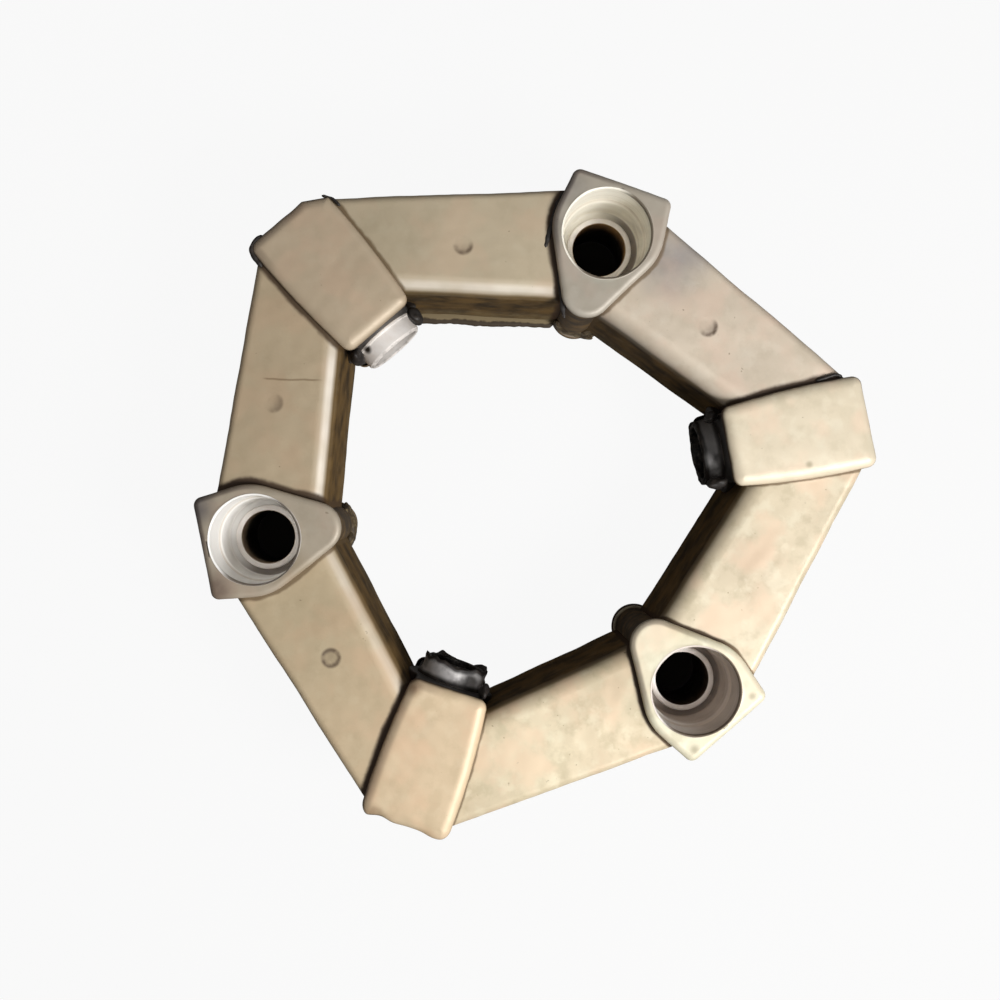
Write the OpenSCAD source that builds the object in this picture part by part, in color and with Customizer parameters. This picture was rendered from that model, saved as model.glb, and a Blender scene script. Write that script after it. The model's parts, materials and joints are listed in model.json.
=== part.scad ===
// Flexible shaft coupling ring.
// Three axial bushes and three radial bushes of cast aluminium stand in turn around a
// hexagonal ring, and six rubber legs are bonded between them. The axial bushes bolt to
// a flywheel or flange, and the radial bushes bolt inwards to a hub on the shaft.
// The ring lies with its axis on Z and its lower bush faces on Z = 0.

/* [Ring] */
// Diameter of the circle through the axial bolt holes
bolt_circle_d = 165; // [162:0.5:168]
// Height over the faces of the bushes
ring_h = 57; // [54:0.5:62]
// How far the bush plates stand above the rubber
plate_t = 3.5; // [2.5:0.5:4.5]
// How far the core of a bush is set back from the edge of its plates
core_inset = 1.2; // [0.8:0.1:1.5]

/* [Bolts] */
// Clearance hole for the bolt, the bore of every sleeve
bolt_hole_d = 17.2; // [16.5:0.1:17.6]
// Outside diameter of the steel sleeves
sleeve_d = 21; // [20:0.5:22]
// Chamfer at the ends of the sleeves
sleeve_chamfer = 0.8; // [0.3:0.1:1]
// Diameter of the spigot at the inner end of the radial sleeves
spigot_d = 20.4; // [19.4:0.1:20.6]
// Length of that spigot
spigot_l = 5.5; // [4:0.1:5.7]

/* [Axial bush] */
// Diameter of the counterbore at its mouth
axial_bore_d = 27; // [26:0.1:27.4]
// Diameter of the counterbore below its step
axial_seat_d = 25.4; // [24.5:0.1:25.6]
// Depth of the step in the counterbore
axial_step_depth = 14; // [8:1:18]
// Depth of the counterbore
axial_bore_depth = 28; // [22:1:30]
// How far the sleeve stands above the floor of the counterbore
axial_sleeve_stand = 0.8; // [0.5:0.1:1.2]
// Distance of the outer edge of the plate from the ring axis
axial_outer_u = 98.7; // [97.6:0.1:99.4]
// Half the width of the plate at its outer edge
axial_outer_half = 16; // [14.8:0.1:16.4]
// Radius of the plate around the bore
axial_lobe_r = 17.4; // [17:0.1:18]
// Distance of the centre of that radius from the ring axis
axial_lobe_u = 84.2; // [83:0.1:85]
// Distance of the inner tip of the plate from the ring axis
axial_tip_u = 55.7; // [54:0.1:57]
// Radius of the inner tip
axial_tip_r = 8; // [7:0.5:9]
// Radius of the outer corners of the plate
axial_corner_r = 2.6; // [2.5:0.1:3.2]
// Width of the rounding along the edge of the plate
axial_edge_w = 2.1; // [1:0.1:2.2]
// Height of that rounding
axial_edge_h = 1.6; // [0.8:0.1:2.2]

/* [Radial bush] */
// Distance of the inner end of the plate from the ring axis
radial_inner_u = 65.3; // [64:0.1:66]
// Distance of the outer end of the plate from the ring axis
radial_outer_u = 109.9; // [108.5:0.1:111]
// Half the width of the plate at its inner end
radial_inner_half = 12.2; // [12:0.1:13]
// Half the width of the plate at its outer end
radial_outer_half = 14.2; // [13.5:0.1:14.5]
// How far the sides of the plate bow outwards
radial_bow = 1; // [0.5:0.1:1.5]
// Radius of the corners of the plate
radial_corner_r = 3; // [2.6:0.1:3.5]
// Width of the rounding along the edge of the plate
radial_edge_w = 3.6; // [2:0.1:4]
// Height of that rounding
radial_edge_h = 2.6; // [1.5:0.1:2.8]
// Diameter of the cast barrel around the bolt hole
radial_barrel_d = 29; // [28:0.5:30]
// Diameter of the recess for the bolt head in the outer end
radial_bore_d = 25.4; // [24.5:0.1:25.8]
// Depth of that recess from the outer end of the plate
radial_bore_depth = 24; // [20:1:26]
// Distance of the inner end of the sleeve from the ring axis
radial_sleeve_u = 60.3; // [58:0.1:61]

/* [Rubber legs] */
// Distance of the outer wall of a leg from the ring axis
leg_outer_dist = 91.6; // [90:0.1:91.8]
// Angle from the radial bush to the normal of the outer wall
leg_outer_angle = 38.7; // [37:0.1:40]
// Distance of the inner wall of a leg from the ring axis
leg_inner_dist = 58.6; // [57.5:0.1:60]
// Angle from the radial bush to the normal of the inner wall
leg_inner_angle = 43.5; // [42:0.1:45]
// Rounding along the inner edges of a leg
leg_inner_edge_r = 5.5; // [3:0.5:7]
// Rounding along the outer edges of a leg
leg_outer_edge_r = 2.5; // [1:0.5:4]

/* [Hidden] */

bush_step = 60;
bolt_u = bolt_circle_d / 2;
mid_z = ring_h / 2;
axial_floor_z = ring_h - axial_bore_depth;
radial_floor_u = radial_outer_u - radial_bore_depth;
radial_length = radial_outer_u - radial_inner_u;
leg_z0 = plate_t;
leg_h = ring_h - 2 * plate_t;

// The underside of a plate has a small rounding of its own, so it seats on the rubber.
underside_r = 0.5;
// Corner radius of the radial core, and the least corner radius of a plate's inner layers.
core_corner_r = 0.8;
least_corner_r = 0.3;
mouth_chamfer = 0.6;
// The wall of the counterbore's seat starts this far above the sleeve's end, where the
// corner radius of the floor ends, so that the bolt head meets the sleeve first.
seat_margin = 0.3;
// How far a cutting tool runs past the face that it cuts.
over = 1;

arc_steps = 6;
edge_step = 30;
side_steps = 8;
round_fn = 96;
barrel_sides = 48;

// End lines that close a leg inside the cores of its two bushes, as distance along and
// distance across the axis of the bush.
leg_radial_in = [60, 8.5];
leg_radial_out = [113, 12.4];
leg_axial_in = [50, -2.5];
leg_axial_out = [104, -11.5];
leg_bar_w = 70;
leg_bar_l = 160;

coat = [0.75, 0.68, 0.55];
bare_metal = [0.80, 0.79, 0.77];
dark_metal = [0.22, 0.21, 0.20];
coated_rubber = [0.70, 0.63, 0.50];

function polar(r, a) = [r * cos(a), r * sin(a)];

// Direction of the outward normal of the line that touches circles a and b, which are
// [x, y, radius], with both circles on its left.
function touch_angle(a, b) =
    let (dx = b[0] - a[0], dy = b[1] - a[1])
    atan2(dy, dx) - 90 + asin((a[2] - b[2]) / norm([dx, dy]));

// Angle swept anticlockwise from a0 to a1.
function sweep(a0, a1) =
    let (d = (a1 - a0) % 360)
    d < 0 ? d + 360 : d;

// Outline drawn tightly around a closed run of circles, set in by inset.
function band(circles, inset) =
    let (n = len(circles))
    [for (i = [0 : n - 1])
        let (c = circles[i],
             before = circles[(i + n - 1) % n],
             after = circles[(i + 1) % n],
             a0 = touch_angle(before, c),
             turn = sweep(a0, touch_angle(c, after)))
        for (k = [0 : arc_steps])
            [c[0], c[1]] + polar(c[2] - inset, a0 + turn * k / arc_steps)];

corner_u = axial_outer_u - axial_corner_r;
corner_half = axial_outer_half - axial_corner_r;
axial_circles = [[axial_tip_u + axial_tip_r, 0, axial_tip_r],
                 [axial_lobe_u, 0, axial_lobe_r],
                 [corner_u, -corner_half, axial_corner_r],
                 [corner_u, corner_half, axial_corner_r],
                 [axial_lobe_u, 0, axial_lobe_r]];

// Half the width of the radial plate at a fraction s of its length.
function radial_half(s) =
    radial_inner_half + (radial_outer_half - radial_inner_half) * s + radial_bow * 4 * s * (1 - s);

// One side of the radial outline from its inner end to its outer end, set in by inset,
// with corners of radius r.
function radial_side(inset, r) =
    let (u0 = radial_inner_u + inset,
         u1 = radial_outer_u - inset,
         s0 = r / radial_length,
         s1 = 1 - s0)
    concat([for (k = [0 : arc_steps])
                let (a = 90 * k / arc_steps)
                [u0 + r * (1 - cos(a)), radial_half(s0) - inset - r * (1 - sin(a))]],
           [for (k = [1 : side_steps - 1])
                let (s = s0 + (s1 - s0) * k / side_steps)
                [radial_inner_u + radial_length * s, radial_half(s) - inset]],
           [for (k = [arc_steps : -1 : 0])
                let (a = 90 * k / arc_steps)
                [u1 - r * (1 - cos(a)), radial_half(s1) - inset - r * (1 - sin(a))]]);

function mirrored(points) =
    [for (i = [len(points) - 1 : -1 : 0]) [points[i][0], -points[i][1]]];

module axial_outline(inset) {
    polygon(band(axial_circles, inset));
}

module radial_outline(inset, r) {
    side = radial_side(inset, r);
    polygon(concat(side, mirrored(side)));
}

module outline(kind, inset) {
    if (kind == "axial")
        axial_outline(inset);
    else
        radial_outline(inset, max(radial_corner_r - inset, least_corner_r));
}

// Prism on the outline of a plate, set in from its edge, between two heights.
module layer(kind, inset, z0, z1) {
    translate([0, 0, z0])
        linear_extrude(z1 - z0)
            outline(kind, inset);
}

// Plate from z = 0 to plate_t, whose upper edge is rounded over edge_w inwards and edge_h
// down, and whose lower edge is lightly broken.
module plate(kind, edge_w, edge_h) {
    hull() {
        for (a = [0 : edge_step : 90])
            layer(kind, edge_w * (1 - cos(a)), underside_r, plate_t - edge_h * (1 - sin(a)));
        layer(kind, underside_r, 0, underside_r);
    }
}

// A plate at the top of the ring and its mirror image at the bottom.
module plate_pair(kind, edge_w, edge_h) {
    translate([0, 0, ring_h - plate_t])
        plate(kind, edge_w, edge_h);
    translate([0, 0, plate_t])
        mirror([0, 0, 1])
            plate(kind, edge_w, edge_h);
}

// Core of an axial bush, made longer by extra at both ends where it is a cutting tool.
module axial_core(extra) {
    translate([0, 0, leg_z0 - extra])
        linear_extrude(leg_h + 2 * extra)
            axial_outline(core_inset);
}

// Barrel of flat staves around the radial bolt, so that the rubber seats on it exactly.
module radial_barrel() {
    translate([radial_inner_u + core_inset, 0, mid_z])
        rotate([0, 90, 0])
            linear_extrude(radial_length - 2 * core_inset)
                polygon([for (k = [0 : barrel_sides - 1])
                             polar(radial_barrel_d / 2, 360 * k / barrel_sides)]);
}

// The block between the radial plates, with the barrel that bulges out of its sides.
module radial_core(extra) {
    translate([0, 0, leg_z0 - extra])
        linear_extrude(leg_h + 2 * extra)
            radial_outline(core_inset, core_corner_r);
    radial_barrel();
}

// Tool that cuts a stepped bolt bore, turned about Z, with its mouth at z = 0 facing up.
module axial_bore_tool() {
    r = axial_sleeve_stand + seat_margin;
    floor_corner = [for (k = [0 : arc_steps])
                       let (a = 90 * k / arc_steps)
                       [axial_seat_d / 2 - r * (1 - cos(a)), -axial_bore_depth + r * (1 - sin(a))]];
    rotate_extrude($fn = round_fn)
        polygon([[0, over],
                 [axial_bore_d / 2 + mouth_chamfer + over, over],
                 [axial_bore_d / 2 + mouth_chamfer, 0],
                 [axial_bore_d / 2, -mouth_chamfer],
                 [axial_bore_d / 2, -axial_step_depth],
                 [axial_seat_d / 2, -axial_step_depth - (axial_bore_d - axial_seat_d) / 2],
                 each floor_corner,
                 [sleeve_d / 2, -axial_bore_depth],
                 [sleeve_d / 2, -ring_h - over],
                 [0, -ring_h - over]]);
}

module radial_bore_tool() {
    rotate_extrude($fn = round_fn)
        polygon([[0, over],
                 [radial_bore_d / 2 + mouth_chamfer + over, over],
                 [radial_bore_d / 2 + mouth_chamfer, 0],
                 [radial_bore_d / 2, -mouth_chamfer],
                 [radial_bore_d / 2, -radial_bore_depth + core_inset],
                 [sleeve_d / 2, -radial_bore_depth + core_inset],
                 [sleeve_d / 2, -radial_length - over],
                 [0, -radial_length - over]]);
}

// Steel sleeve of length h, turned about Z, with chamfered ends. Where neck is above 0,
// the lower end is turned down to a spigot of that length.
module sleeve(h, neck) {
    r_in = bolt_hole_d / 2;
    r_out = sleeve_d / 2;
    r_neck = spigot_d / 2;
    c = sleeve_chamfer;
    lower = neck > 0
        ? [[r_neck - c, 0], [r_neck, c], [r_neck, neck], [r_out, neck]]
        : [[r_out - c, 0], [r_out, c]];
    rotate_extrude($fn = round_fn)
        polygon(concat([[r_in, c / 2], [r_in + c / 2, 0]],
                       lower,
                       [[r_out, h - c],
                        [r_out - c, h],
                        [r_in + c / 2, h],
                        [r_in, h - c / 2]]));
}

// Turns its children from the +X axis to place number i of the ring.
module at_place(i) {
    rotate([0, 0, bush_step * i])
        children();
}

module axial_bush(i) {
    color(coat)
        at_place(i)
            difference() {
                union() {
                    plate_pair("axial", axial_edge_w, axial_edge_h);
                    axial_core(0);
                }
                translate([bolt_u, 0, ring_h])
                    axial_bore_tool();
            }
}

module radial_bush(i) {
    color(coat)
        at_place(i)
            difference() {
                union() {
                    plate_pair("radial", radial_edge_w, radial_edge_h);
                    radial_core(0);
                }
                translate([radial_outer_u - core_inset, 0, mid_z])
                    rotate([0, 90, 0])
                        radial_bore_tool();
            }
}

module axial_sleeve(i) {
    color(bare_metal)
        at_place(i)
            translate([bolt_u, 0, 0])
                sleeve(axial_floor_z + axial_sleeve_stand, 0);
}

module radial_sleeve(i) {
    color(dark_metal)
        at_place(i)
            translate([radial_sleeve_u, 0, mid_z])
                rotate([0, 90, 0])
                    sleeve(radial_floor_u - radial_sleeve_u, spigot_l);
}

// Long bar whose edges along the wall are rounded by r, lying along Y, with its wall at
// x = 0 and its body towards -X.
module leg_bar(r) {
    lower = [for (k = [0 : arc_steps])
                let (a = 90 * k / arc_steps)
                [-r * (1 - sin(a)), r * (1 - cos(a))]];
    upper = [for (k = [arc_steps : -1 : 0]) [lower[k][0], leg_h - lower[k][1]]];
    translate([0, leg_bar_l / 2, leg_z0])
        rotate([90, 0, 0])
            linear_extrude(leg_bar_l)
                polygon(concat([[-leg_bar_w, 0]], lower, upper, [[-leg_bar_w, leg_h]]));
}

function turned(p, a) =
    [p[0] * cos(a) - p[1] * sin(a), p[0] * sin(a) + p[1] * cos(a)];

// Leg between the radial bush at place 0 and the axial bush at place 1.
module leg_body() {
    difference() {
        intersection() {
            rotate([0, 0, leg_outer_angle])
                translate([leg_outer_dist, 0, 0])
                    leg_bar(leg_outer_edge_r);
            rotate([0, 0, leg_inner_angle])
                translate([leg_inner_dist, 0, 0])
                    mirror([1, 0, 0])
                        leg_bar(leg_inner_edge_r);
            translate([0, 0, leg_z0 - over])
                linear_extrude(leg_h + 2 * over)
                    polygon([leg_radial_in,
                             leg_radial_out,
                             turned(leg_axial_out, bush_step),
                             turned(leg_axial_in, bush_step)]);
        }
        radial_core(over);
        at_place(1)
            axial_core(over);
    }
}

// Leg i lies after place i. Odd legs are the mirror image, with the axial bush first.
module rubber_leg(i) {
    color(coated_rubber)
        if (i % 2 == 0)
            at_place(i)
                leg_body();
        else
            at_place(i + 1)
                mirror([0, 1, 0])
                    leg_body();
}

radial_bush(0);  // radial_bush_1
axial_bush(1);  // axial_bush_1
radial_bush(2);  // radial_bush_2
axial_bush(3);  // axial_bush_2
radial_bush(4);  // radial_bush_3
axial_bush(5);  // axial_bush_3
radial_sleeve(0);  // radial_sleeve_1
axial_sleeve(1);  // axial_sleeve_1
radial_sleeve(2);  // radial_sleeve_2
axial_sleeve(3);  // axial_sleeve_2
radial_sleeve(4);  // radial_sleeve_3
axial_sleeve(5);  // axial_sleeve_3
rubber_leg(0);  // rubber_leg_1
rubber_leg(1);  // rubber_leg_2
rubber_leg(2);  // rubber_leg_3
rubber_leg(3);  // rubber_leg_4
rubber_leg(4);  // rubber_leg_5
rubber_leg(5);  // rubber_leg_6
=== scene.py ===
"""Looks of a flexible shaft coupling ring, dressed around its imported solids.

The ring lies on a pale floor and is seen from above. Shapes are worked out in millimetres
and become metres when a mesh is made. Place 0 of the ring is on +X and the places count
anticlockwise by 60 degrees: radial bushes stand at even places, axial bushes at odd ones.
"""

import json
import math

import bmesh
import bpy
import numpy as np
from mathutils import Matrix, Vector


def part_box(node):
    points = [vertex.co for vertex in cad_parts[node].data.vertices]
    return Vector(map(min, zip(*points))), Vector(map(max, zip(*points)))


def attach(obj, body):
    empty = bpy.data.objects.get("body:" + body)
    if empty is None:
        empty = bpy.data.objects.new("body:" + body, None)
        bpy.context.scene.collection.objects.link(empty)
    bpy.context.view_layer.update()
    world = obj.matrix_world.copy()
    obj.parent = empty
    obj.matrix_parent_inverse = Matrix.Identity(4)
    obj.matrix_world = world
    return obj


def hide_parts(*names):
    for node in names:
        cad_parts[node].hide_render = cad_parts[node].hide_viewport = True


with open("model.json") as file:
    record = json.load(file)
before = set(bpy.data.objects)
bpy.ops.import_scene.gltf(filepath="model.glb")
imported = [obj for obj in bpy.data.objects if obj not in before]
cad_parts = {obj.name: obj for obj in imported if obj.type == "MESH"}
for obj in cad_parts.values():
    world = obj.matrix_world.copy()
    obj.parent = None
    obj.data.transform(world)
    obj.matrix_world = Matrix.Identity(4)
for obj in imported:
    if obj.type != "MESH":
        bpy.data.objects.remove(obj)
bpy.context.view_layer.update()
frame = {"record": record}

MM = 0.001
FULL_TURN = 2 * math.pi
QUARTER = np.linspace(0, math.pi / 2, 8)
PLACE_STEP = math.radians(60)
RADIAL_PLACES = (0, 2, 4)
AXIAL_PLACES = (1, 3, 5)

# Ring sizes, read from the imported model
MOUNTS = {mount["name"]: mount for mount in frame["record"]["mounts"]}
RING_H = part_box("axial_bush_1")[1].z / MM
MID_Z = RING_H / 2
BOLT_U = MOUNTS["axial_bolts"]["dims"]["pcd_mm"] / 2
BOLT_R = MOUNTS["axial_bolts"]["dims"]["hole_r_mm"]
MOUTH_R = MOUNTS["axial_head_recess_1"]["dims"]["r_mm"]
SEAT_R = MOUNTS["axial_head_seat_1"]["dims"]["r_mm"]
RECESS_R = MOUNTS["radial_head_recess_1"]["dims"]["r_mm"]
SPIGOT_R = MOUNTS["hub_spigot_1"]["dims"]["r_mm"]

# Bush plates and cores. So that no gap shows, a radial core reaches into its plates by a bite
PLATE_T = 3.5
CORE_INSET = 1.2
CORE_CORNER = 0.8
CORE_BITE = 0.4
UNDER_R = 0.5
NECK_FILLET = 0.6
MOUTH_CHAMFER = 0.55
STEP_DEPTH = 14.0
BORE_DEPTH = 28.0
FLOOR_FILLET = 1.1
SLEEVE_R = 10.5
SLEEVE_STAND = 0.8
AXIAL_CHAMFER = 0.3
RADIAL_CHAMFER = 0.8

# Axial plate: its rounding, and the circles that its outline is drawn round, each as
# distance along the bush axis, distance across it, and radius
AXIAL_EDGE_W = 2.1
AXIAL_EDGE_H = 1.6
AXIAL_CIRCLES = ((63.7, 0.0, 8.0),
                 (84.2, 0.0, 17.4),
                 (96.1, -13.4, 2.6),
                 (96.1, 13.4, 2.6),
                 (84.2, 0.0, 17.4))

# Radial plate
RADIAL_U = (65.3, 109.9)
RADIAL_HALF = (12.2, 14.2)
RADIAL_BOW = 1.0
RADIAL_CORNER = 3.0
RADIAL_EDGE_W = 3.6
RADIAL_EDGE_H = 2.6
BARREL_R = 14.5
RECESS_DEPTH = 24.0
SLEEVE_U = 60.3
SPIGOT_L = 5.5

# Legs: distance of a wall from the ring axis and angle of its normal, rounding of the upper
# and lower edges, how far the ends reach into the bushes' cores, and the stretch of a radial
# core's side in which a leg's end is looked for
LEG_TOP = RING_H - PLATE_T
LEG_OUTER = (91.6, math.radians(38.7))
LEG_INNER = (58.6, math.radians(43.5))
LEG_INNER_EDGE = 5.5
LEG_OUTER_EDGE = 2.5
LEG_BITE = 0.4
CORE_SIDE = (62, 112)

# Direction of the side away from the light, towards which the dirt in the seams is painted
# wider and darker as painted shade, and which also sets painted shade on edges and bores, and
# a distance that stands for no seam near
SHADE_SIDE = math.radians(135)
FAR = 9.0

# Points of a mesh that are closer than this become one
WELD = 0.0002

# Camera, fitted to the photograph: place, turn about the ring axis, tilt, and lens
VIEW_FROM = (-13.3, 0.6, 442.0)
VIEW_TURN = math.radians(11.01)
VIEW_TILT = Vector((math.radians(0.25), math.radians(1.06), 0.0))
VIEW_LENS = 45.41


def lay_grid(rows, cols, close_rows, close_cols):
    """Quads over a grid of points; a closed direction joins its last line to its first."""
    i, j = np.meshgrid(np.arange(rows if close_rows else rows - 1),
                       np.arange(cols if close_cols else cols - 1), indexing="ij")
    i1 = (i + 1) % rows
    j1 = (j + 1) % cols
    return np.stack([i * cols + j, i1 * cols + j, i1 * cols + j1, i * cols + j1], -1).reshape(-1, 4)


def grid_normals(points, close_rows, close_cols):
    """Unit normals of a grid: the cross product of its two central differences."""
    slopes = [np.roll(points, -1, axis) - np.roll(points, 1, axis) if closed
              else np.gradient(points, axis=axis)
              for axis, closed in enumerate((close_rows, close_cols))]
    normal = np.cross(*slopes)
    length = np.linalg.norm(normal, axis=-1, keepdims=True)
    return normal / np.maximum(length, 1e-9)


def ripple(points, length, seed, waves=28):
    """Smooth waviness of about unit height: the sum of plane waves of nearly one length in
    random directions, each with a random phase."""
    rng = np.random.default_rng(seed)
    ways = rng.normal(size=(waves, 3))
    ways /= np.linalg.norm(ways, axis=1, keepdims=True)
    ways *= FULL_TURN / length * rng.uniform(0.7, 1.4, (waves, 1))
    phases = rng.uniform(0, FULL_TURN, waves)
    return np.sin(points @ ways.T + phases).sum(-1) * math.sqrt(2 / waves)


def waviness(points, *layers):
    """Sum of ripples, each given by its height, length and seed."""
    return sum(height * ripple(points, length, seed) for height, length, seed in layers)


def together(*columns):
    """Points whose coordinates are the given columns, which are repeated to one shape."""
    return np.stack(np.broadcast_arrays(*columns), -1)


def between(a, b, share):
    """Straight mix from a to b."""
    return a * (1 - share) + b * share


def inner_steps(count):
    """Even steps from 0 to 1 without the two ends, as a column."""
    return np.linspace(0, 1, count + 2)[1:-1, None]


def around(steps):
    """Even angles round a full turn."""
    return np.arange(steps) * FULL_TURN / steps


def lengths_along(run):
    """Length along a run of plan points, at each of them."""
    return np.concatenate([[0], np.cumsum(np.linalg.norm(np.diff(run, axis=0), axis=1))])


def points_along(run, lengths, at):
    """Points of a run in plan at the given lengths along it."""
    return together(*[np.interp(at, lengths, run[:, k]) for k in (0, 1)])


def smooth(x, low, high):
    """Smooth rise from 0 at low to 1 at high: three squares less two cubes of the share."""
    t = np.clip((x - low) / (high - low), 0, 1)
    return t * t * (3 - 2 * t)


def turn_to(points, place, flip=False):
    """Rotates points from +X to a place of the ring, and mirrors them across XZ first if asked."""
    c, s = math.cos(PLACE_STEP * place), math.sin(PLACE_STEP * place)
    x, y, *rest = np.moveaxis(points, -1, 0)
    y = -y if flip else y
    return together(x * c - y * s, x * s + y * c, *rest)


def lee(x, y):
    """How far a direction points to the shaded side of the ring, from 0 to 1."""
    toward = x * math.cos(SHADE_SIDE) + y * math.sin(SHADE_SIDE)
    return 0.5 + 0.5 * toward / np.maximum(np.hypot(x, y), 1e-6)


# Values that a material may read at each point, with what they are where none is given:
# an edge weight (painted highlight and shade on the rounded edges of castings, a painted
# highlight along a leg's inner edge, wear at a sleeve's inner end), millimetres from a seam,
# how shaded that seam is, share of the way down a bore, bare wall of a leg or share of the
# way out along the flash, and a mask for painted shade down a sleeve's bore, dirt at a
# leg's foot and, on a rubber skin, where it is rubbed through
PAINT = {"wear": 0.0, "seam": FAR, "lee": 0.5, "bore": 0.0, "wall": 0.0, "soot": 0.0}

# Marks on the legs, in millimetres: gate marks as place, darkness, the side on which the ring
# is painted darkest, as painted shade in the dent, and how far its inside is filled, and the
# scratch across leg 3 as its two ends
GATES = {1: ((66.7, 37.8), 0.95, -60, 0.5),
         2: ((-2.7, 76.8), 0.9, -95, 0.4),
         3: ((-69.2, 40.2), 0.5, -40, 0.8),
         4: ((-66.9, -40.2), 0.85, None, 0.35)}
GATE_R = 2.5
SCRATCH = {3: ((-71.4, 48.1), (-52.2, 44.2))}

# Where the coat starts to end and has ended on the inner wall of a leg, as shares of the way
# down to half height
WALL_START = (0.03, 0.22)
WALL_STARTS = {1: (0.10, 0.55), 3: (0.02, 0.14)}

# Pits in castings as place and radius: in axial bush 3, in radial bush 1
AXIAL_PITS = {3: (((37.4, -88.9), 1.2), ((57.9, -76.3), 1.0))}
RADIAL_PITS = {1: (((88.6, -9.9), 0.9),)}

# Broad soft stains: place, radius, softness and tone. The first three of axial bush 2 are
# painted shade on its outer corners, which face away from the light
AXIAL_STAINS_AND_SHADE = {1: (((31.8, 88.1), 5.0, 5.0, (0.70, 0.72, 0.76)),
                    ((27.4, 75.5), 3.5, 3.5, (0.72, 0.74, 0.76)),
                    ((36.5, 59.2), 5.0, 4.0, (0.92, 0.96, 0.95))),
                # The first three are painted shade on the outer corners of axial bush 2
                2: (((-98.5, 13.5), 5.5, 3.5, (0.38, 0.39, 0.46)),
                    ((-101.5, 4.0), 3.5, 3.0, (0.50, 0.48, 0.50)),
                    ((-98.0, -13.0), 5.5, 3.5, (0.50, 0.45, 0.44)),
                    ((-72.0, -12.0), 5.0, 4.0, (0.86, 0.82, 0.74))),
                3: (((42.0, -50.0), 5.0, 4.0, (0.97, 0.94, 0.86)),)}
RADIAL_STAINS = {3: (((-63.5, -89.5), 2.6, 2.4, (0.66, 0.58, 0.54)),
                     ((-48.8, -99.0), 2.2, 2.0, (0.80, 0.74, 0.68)),
                     ((-43.5, -53.5), 2.4, 1.8, (0.50, 0.44, 0.40)))}
LEG_STAINS = {1: (((58.3, 59.7), 9.0, 8.0, (0.62, 0.66, 0.77)),
                  ((69.4, 62.5), 6.0, 5.0, (0.80, 0.82, 0.90))),
              2: (((-25.7, 84.2), 12.0, 10.0, (0.84, 0.84, 0.82)),),
              4: (((-74.2, -28.4), 16.0, 12.0, (0.86, 0.88, 0.87)),),
              5: (((22.8, -64.8), 10.0, 9.0, (0.74, 0.78, 0.76)),
                  ((-14.0, -82.0), 13.0, 11.0, (1.13, 1.18, 1.20))),
              6: (((67.5, -38.5), 9.0, 8.0, (0.91, 0.89, 0.88)),)}

# Rubber left over from the moulding: lumps beside the radial sleeves and under the tips of
# axial bushes, as the place of their bush, distance along and across its axis, height, and
# half sizes along, across and up
LUMPS = ((0, 62.4, -10.4, 43.0, (3.2, 2.0, 4.4)),
         (0, 64.0, 10.6, 44.0, (2.2, 1.8, 3.6)),
         (2, 64.6, 11.2, 44.0, (2.8, 2.2, 4.2)),
         (2, 62.2, -11.0, 43.0, (3.1, 2.2, 4.6)),
         (4, 64.0, 10.6, 44.0, (2.4, 1.6, 4.0)))
TIP_LUMPS = ((1, 58.6, -1.0, 5.2, (2.3, 6.6, 4.6)),
             (1, 60.0, -6.0, 6.0, (2.4, 3.2, 5.0)),
             (1, 59.0, 3.6, 6.5, (2.0, 2.6, 5.0)),
             (3, 58.4, 1.0, 4.6, (2.2, 6.6, 4.2)),
             (3, 59.4, 5.6, 5.4, (2.2, 3.0, 4.6)),
             (3, 58.6, -3.6, 5.0, (1.8, 2.6, 4.2)))

# Lowest point of a lump over the floor
LUMP_FOOT = 0.1

# Ragged ridges: place, height, half width, rise, and the run that they follow in plan, turned
# to that place, which at place 0 is plain x and y
RIDGES = ((0, 53.5, 0.85, 0.45, ((31.0, 87.3), (27.1, 81.4), (24.5, 76.3), (22.0, 71.2))),
          (0, 53.5, 0.75, 0.40, ((27.3, 68.2), (25.0, 63.6), (24.3, 59.0), (23.8, 53.5), (23.6, 48.6))),
          (2, 54.6, 0.8, 0.9, ((110.0, 8.6), (110.1, 11.8), (109.0, 14.1), (106.4, 14.9), (102.6, 15.1))),
          (2, 54.4, 0.45, 0.6, ((107.4, -13.0), (104.6, -15.0), (101.2, -15.2))),
          (0, 53.8, 0.6, 0.8, ((96.2, 15.0), (100.0, 15.5), (102.8, 15.8), (104.6, 14.8))))

# Rubber skin round a radial sleeve: its thickness, how much of that is worn off half way
# along, and how far its torn edge may stop short of the sleeve's end or run past it
SKIN_T = 0.55
SKIN_WEAR = 0.3
SKIN_SHORT = 1.2
SKIN_LONG = 2.0

# Flash along the foot of leg 2: how far it stands out of the wall, how deep it roots in the
# leg, and its thickness
FLASH_REACH = 2.7
FLASH_ROOT = 6.0
FLASH_T = 0.9

# How far the wavy cast faces lie inside the solids' faces on average
AXIAL_SINK = 0.09
RADIAL_SINK = 0.08

# Castings turn from bare to coated between these distances from the ring's centre
INSIDE_R = (80.0, 92.0)

# How uneven in plan the outer end of a radial bush's upper plate is, and which one is ragged
EVEN_END = 0.08
RAGGED_ENDS = {3: 0.45}

# A corner of the upper plate of radial bush 2 is worn off, along a line given by the angle of
# its normal and its reach from the plate's middle
WORN_CORNER = (math.radians(-31), 22.8)

# That cut fades out down the core between these heights
CUT_FADE = (43.5, 48.0)


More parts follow.
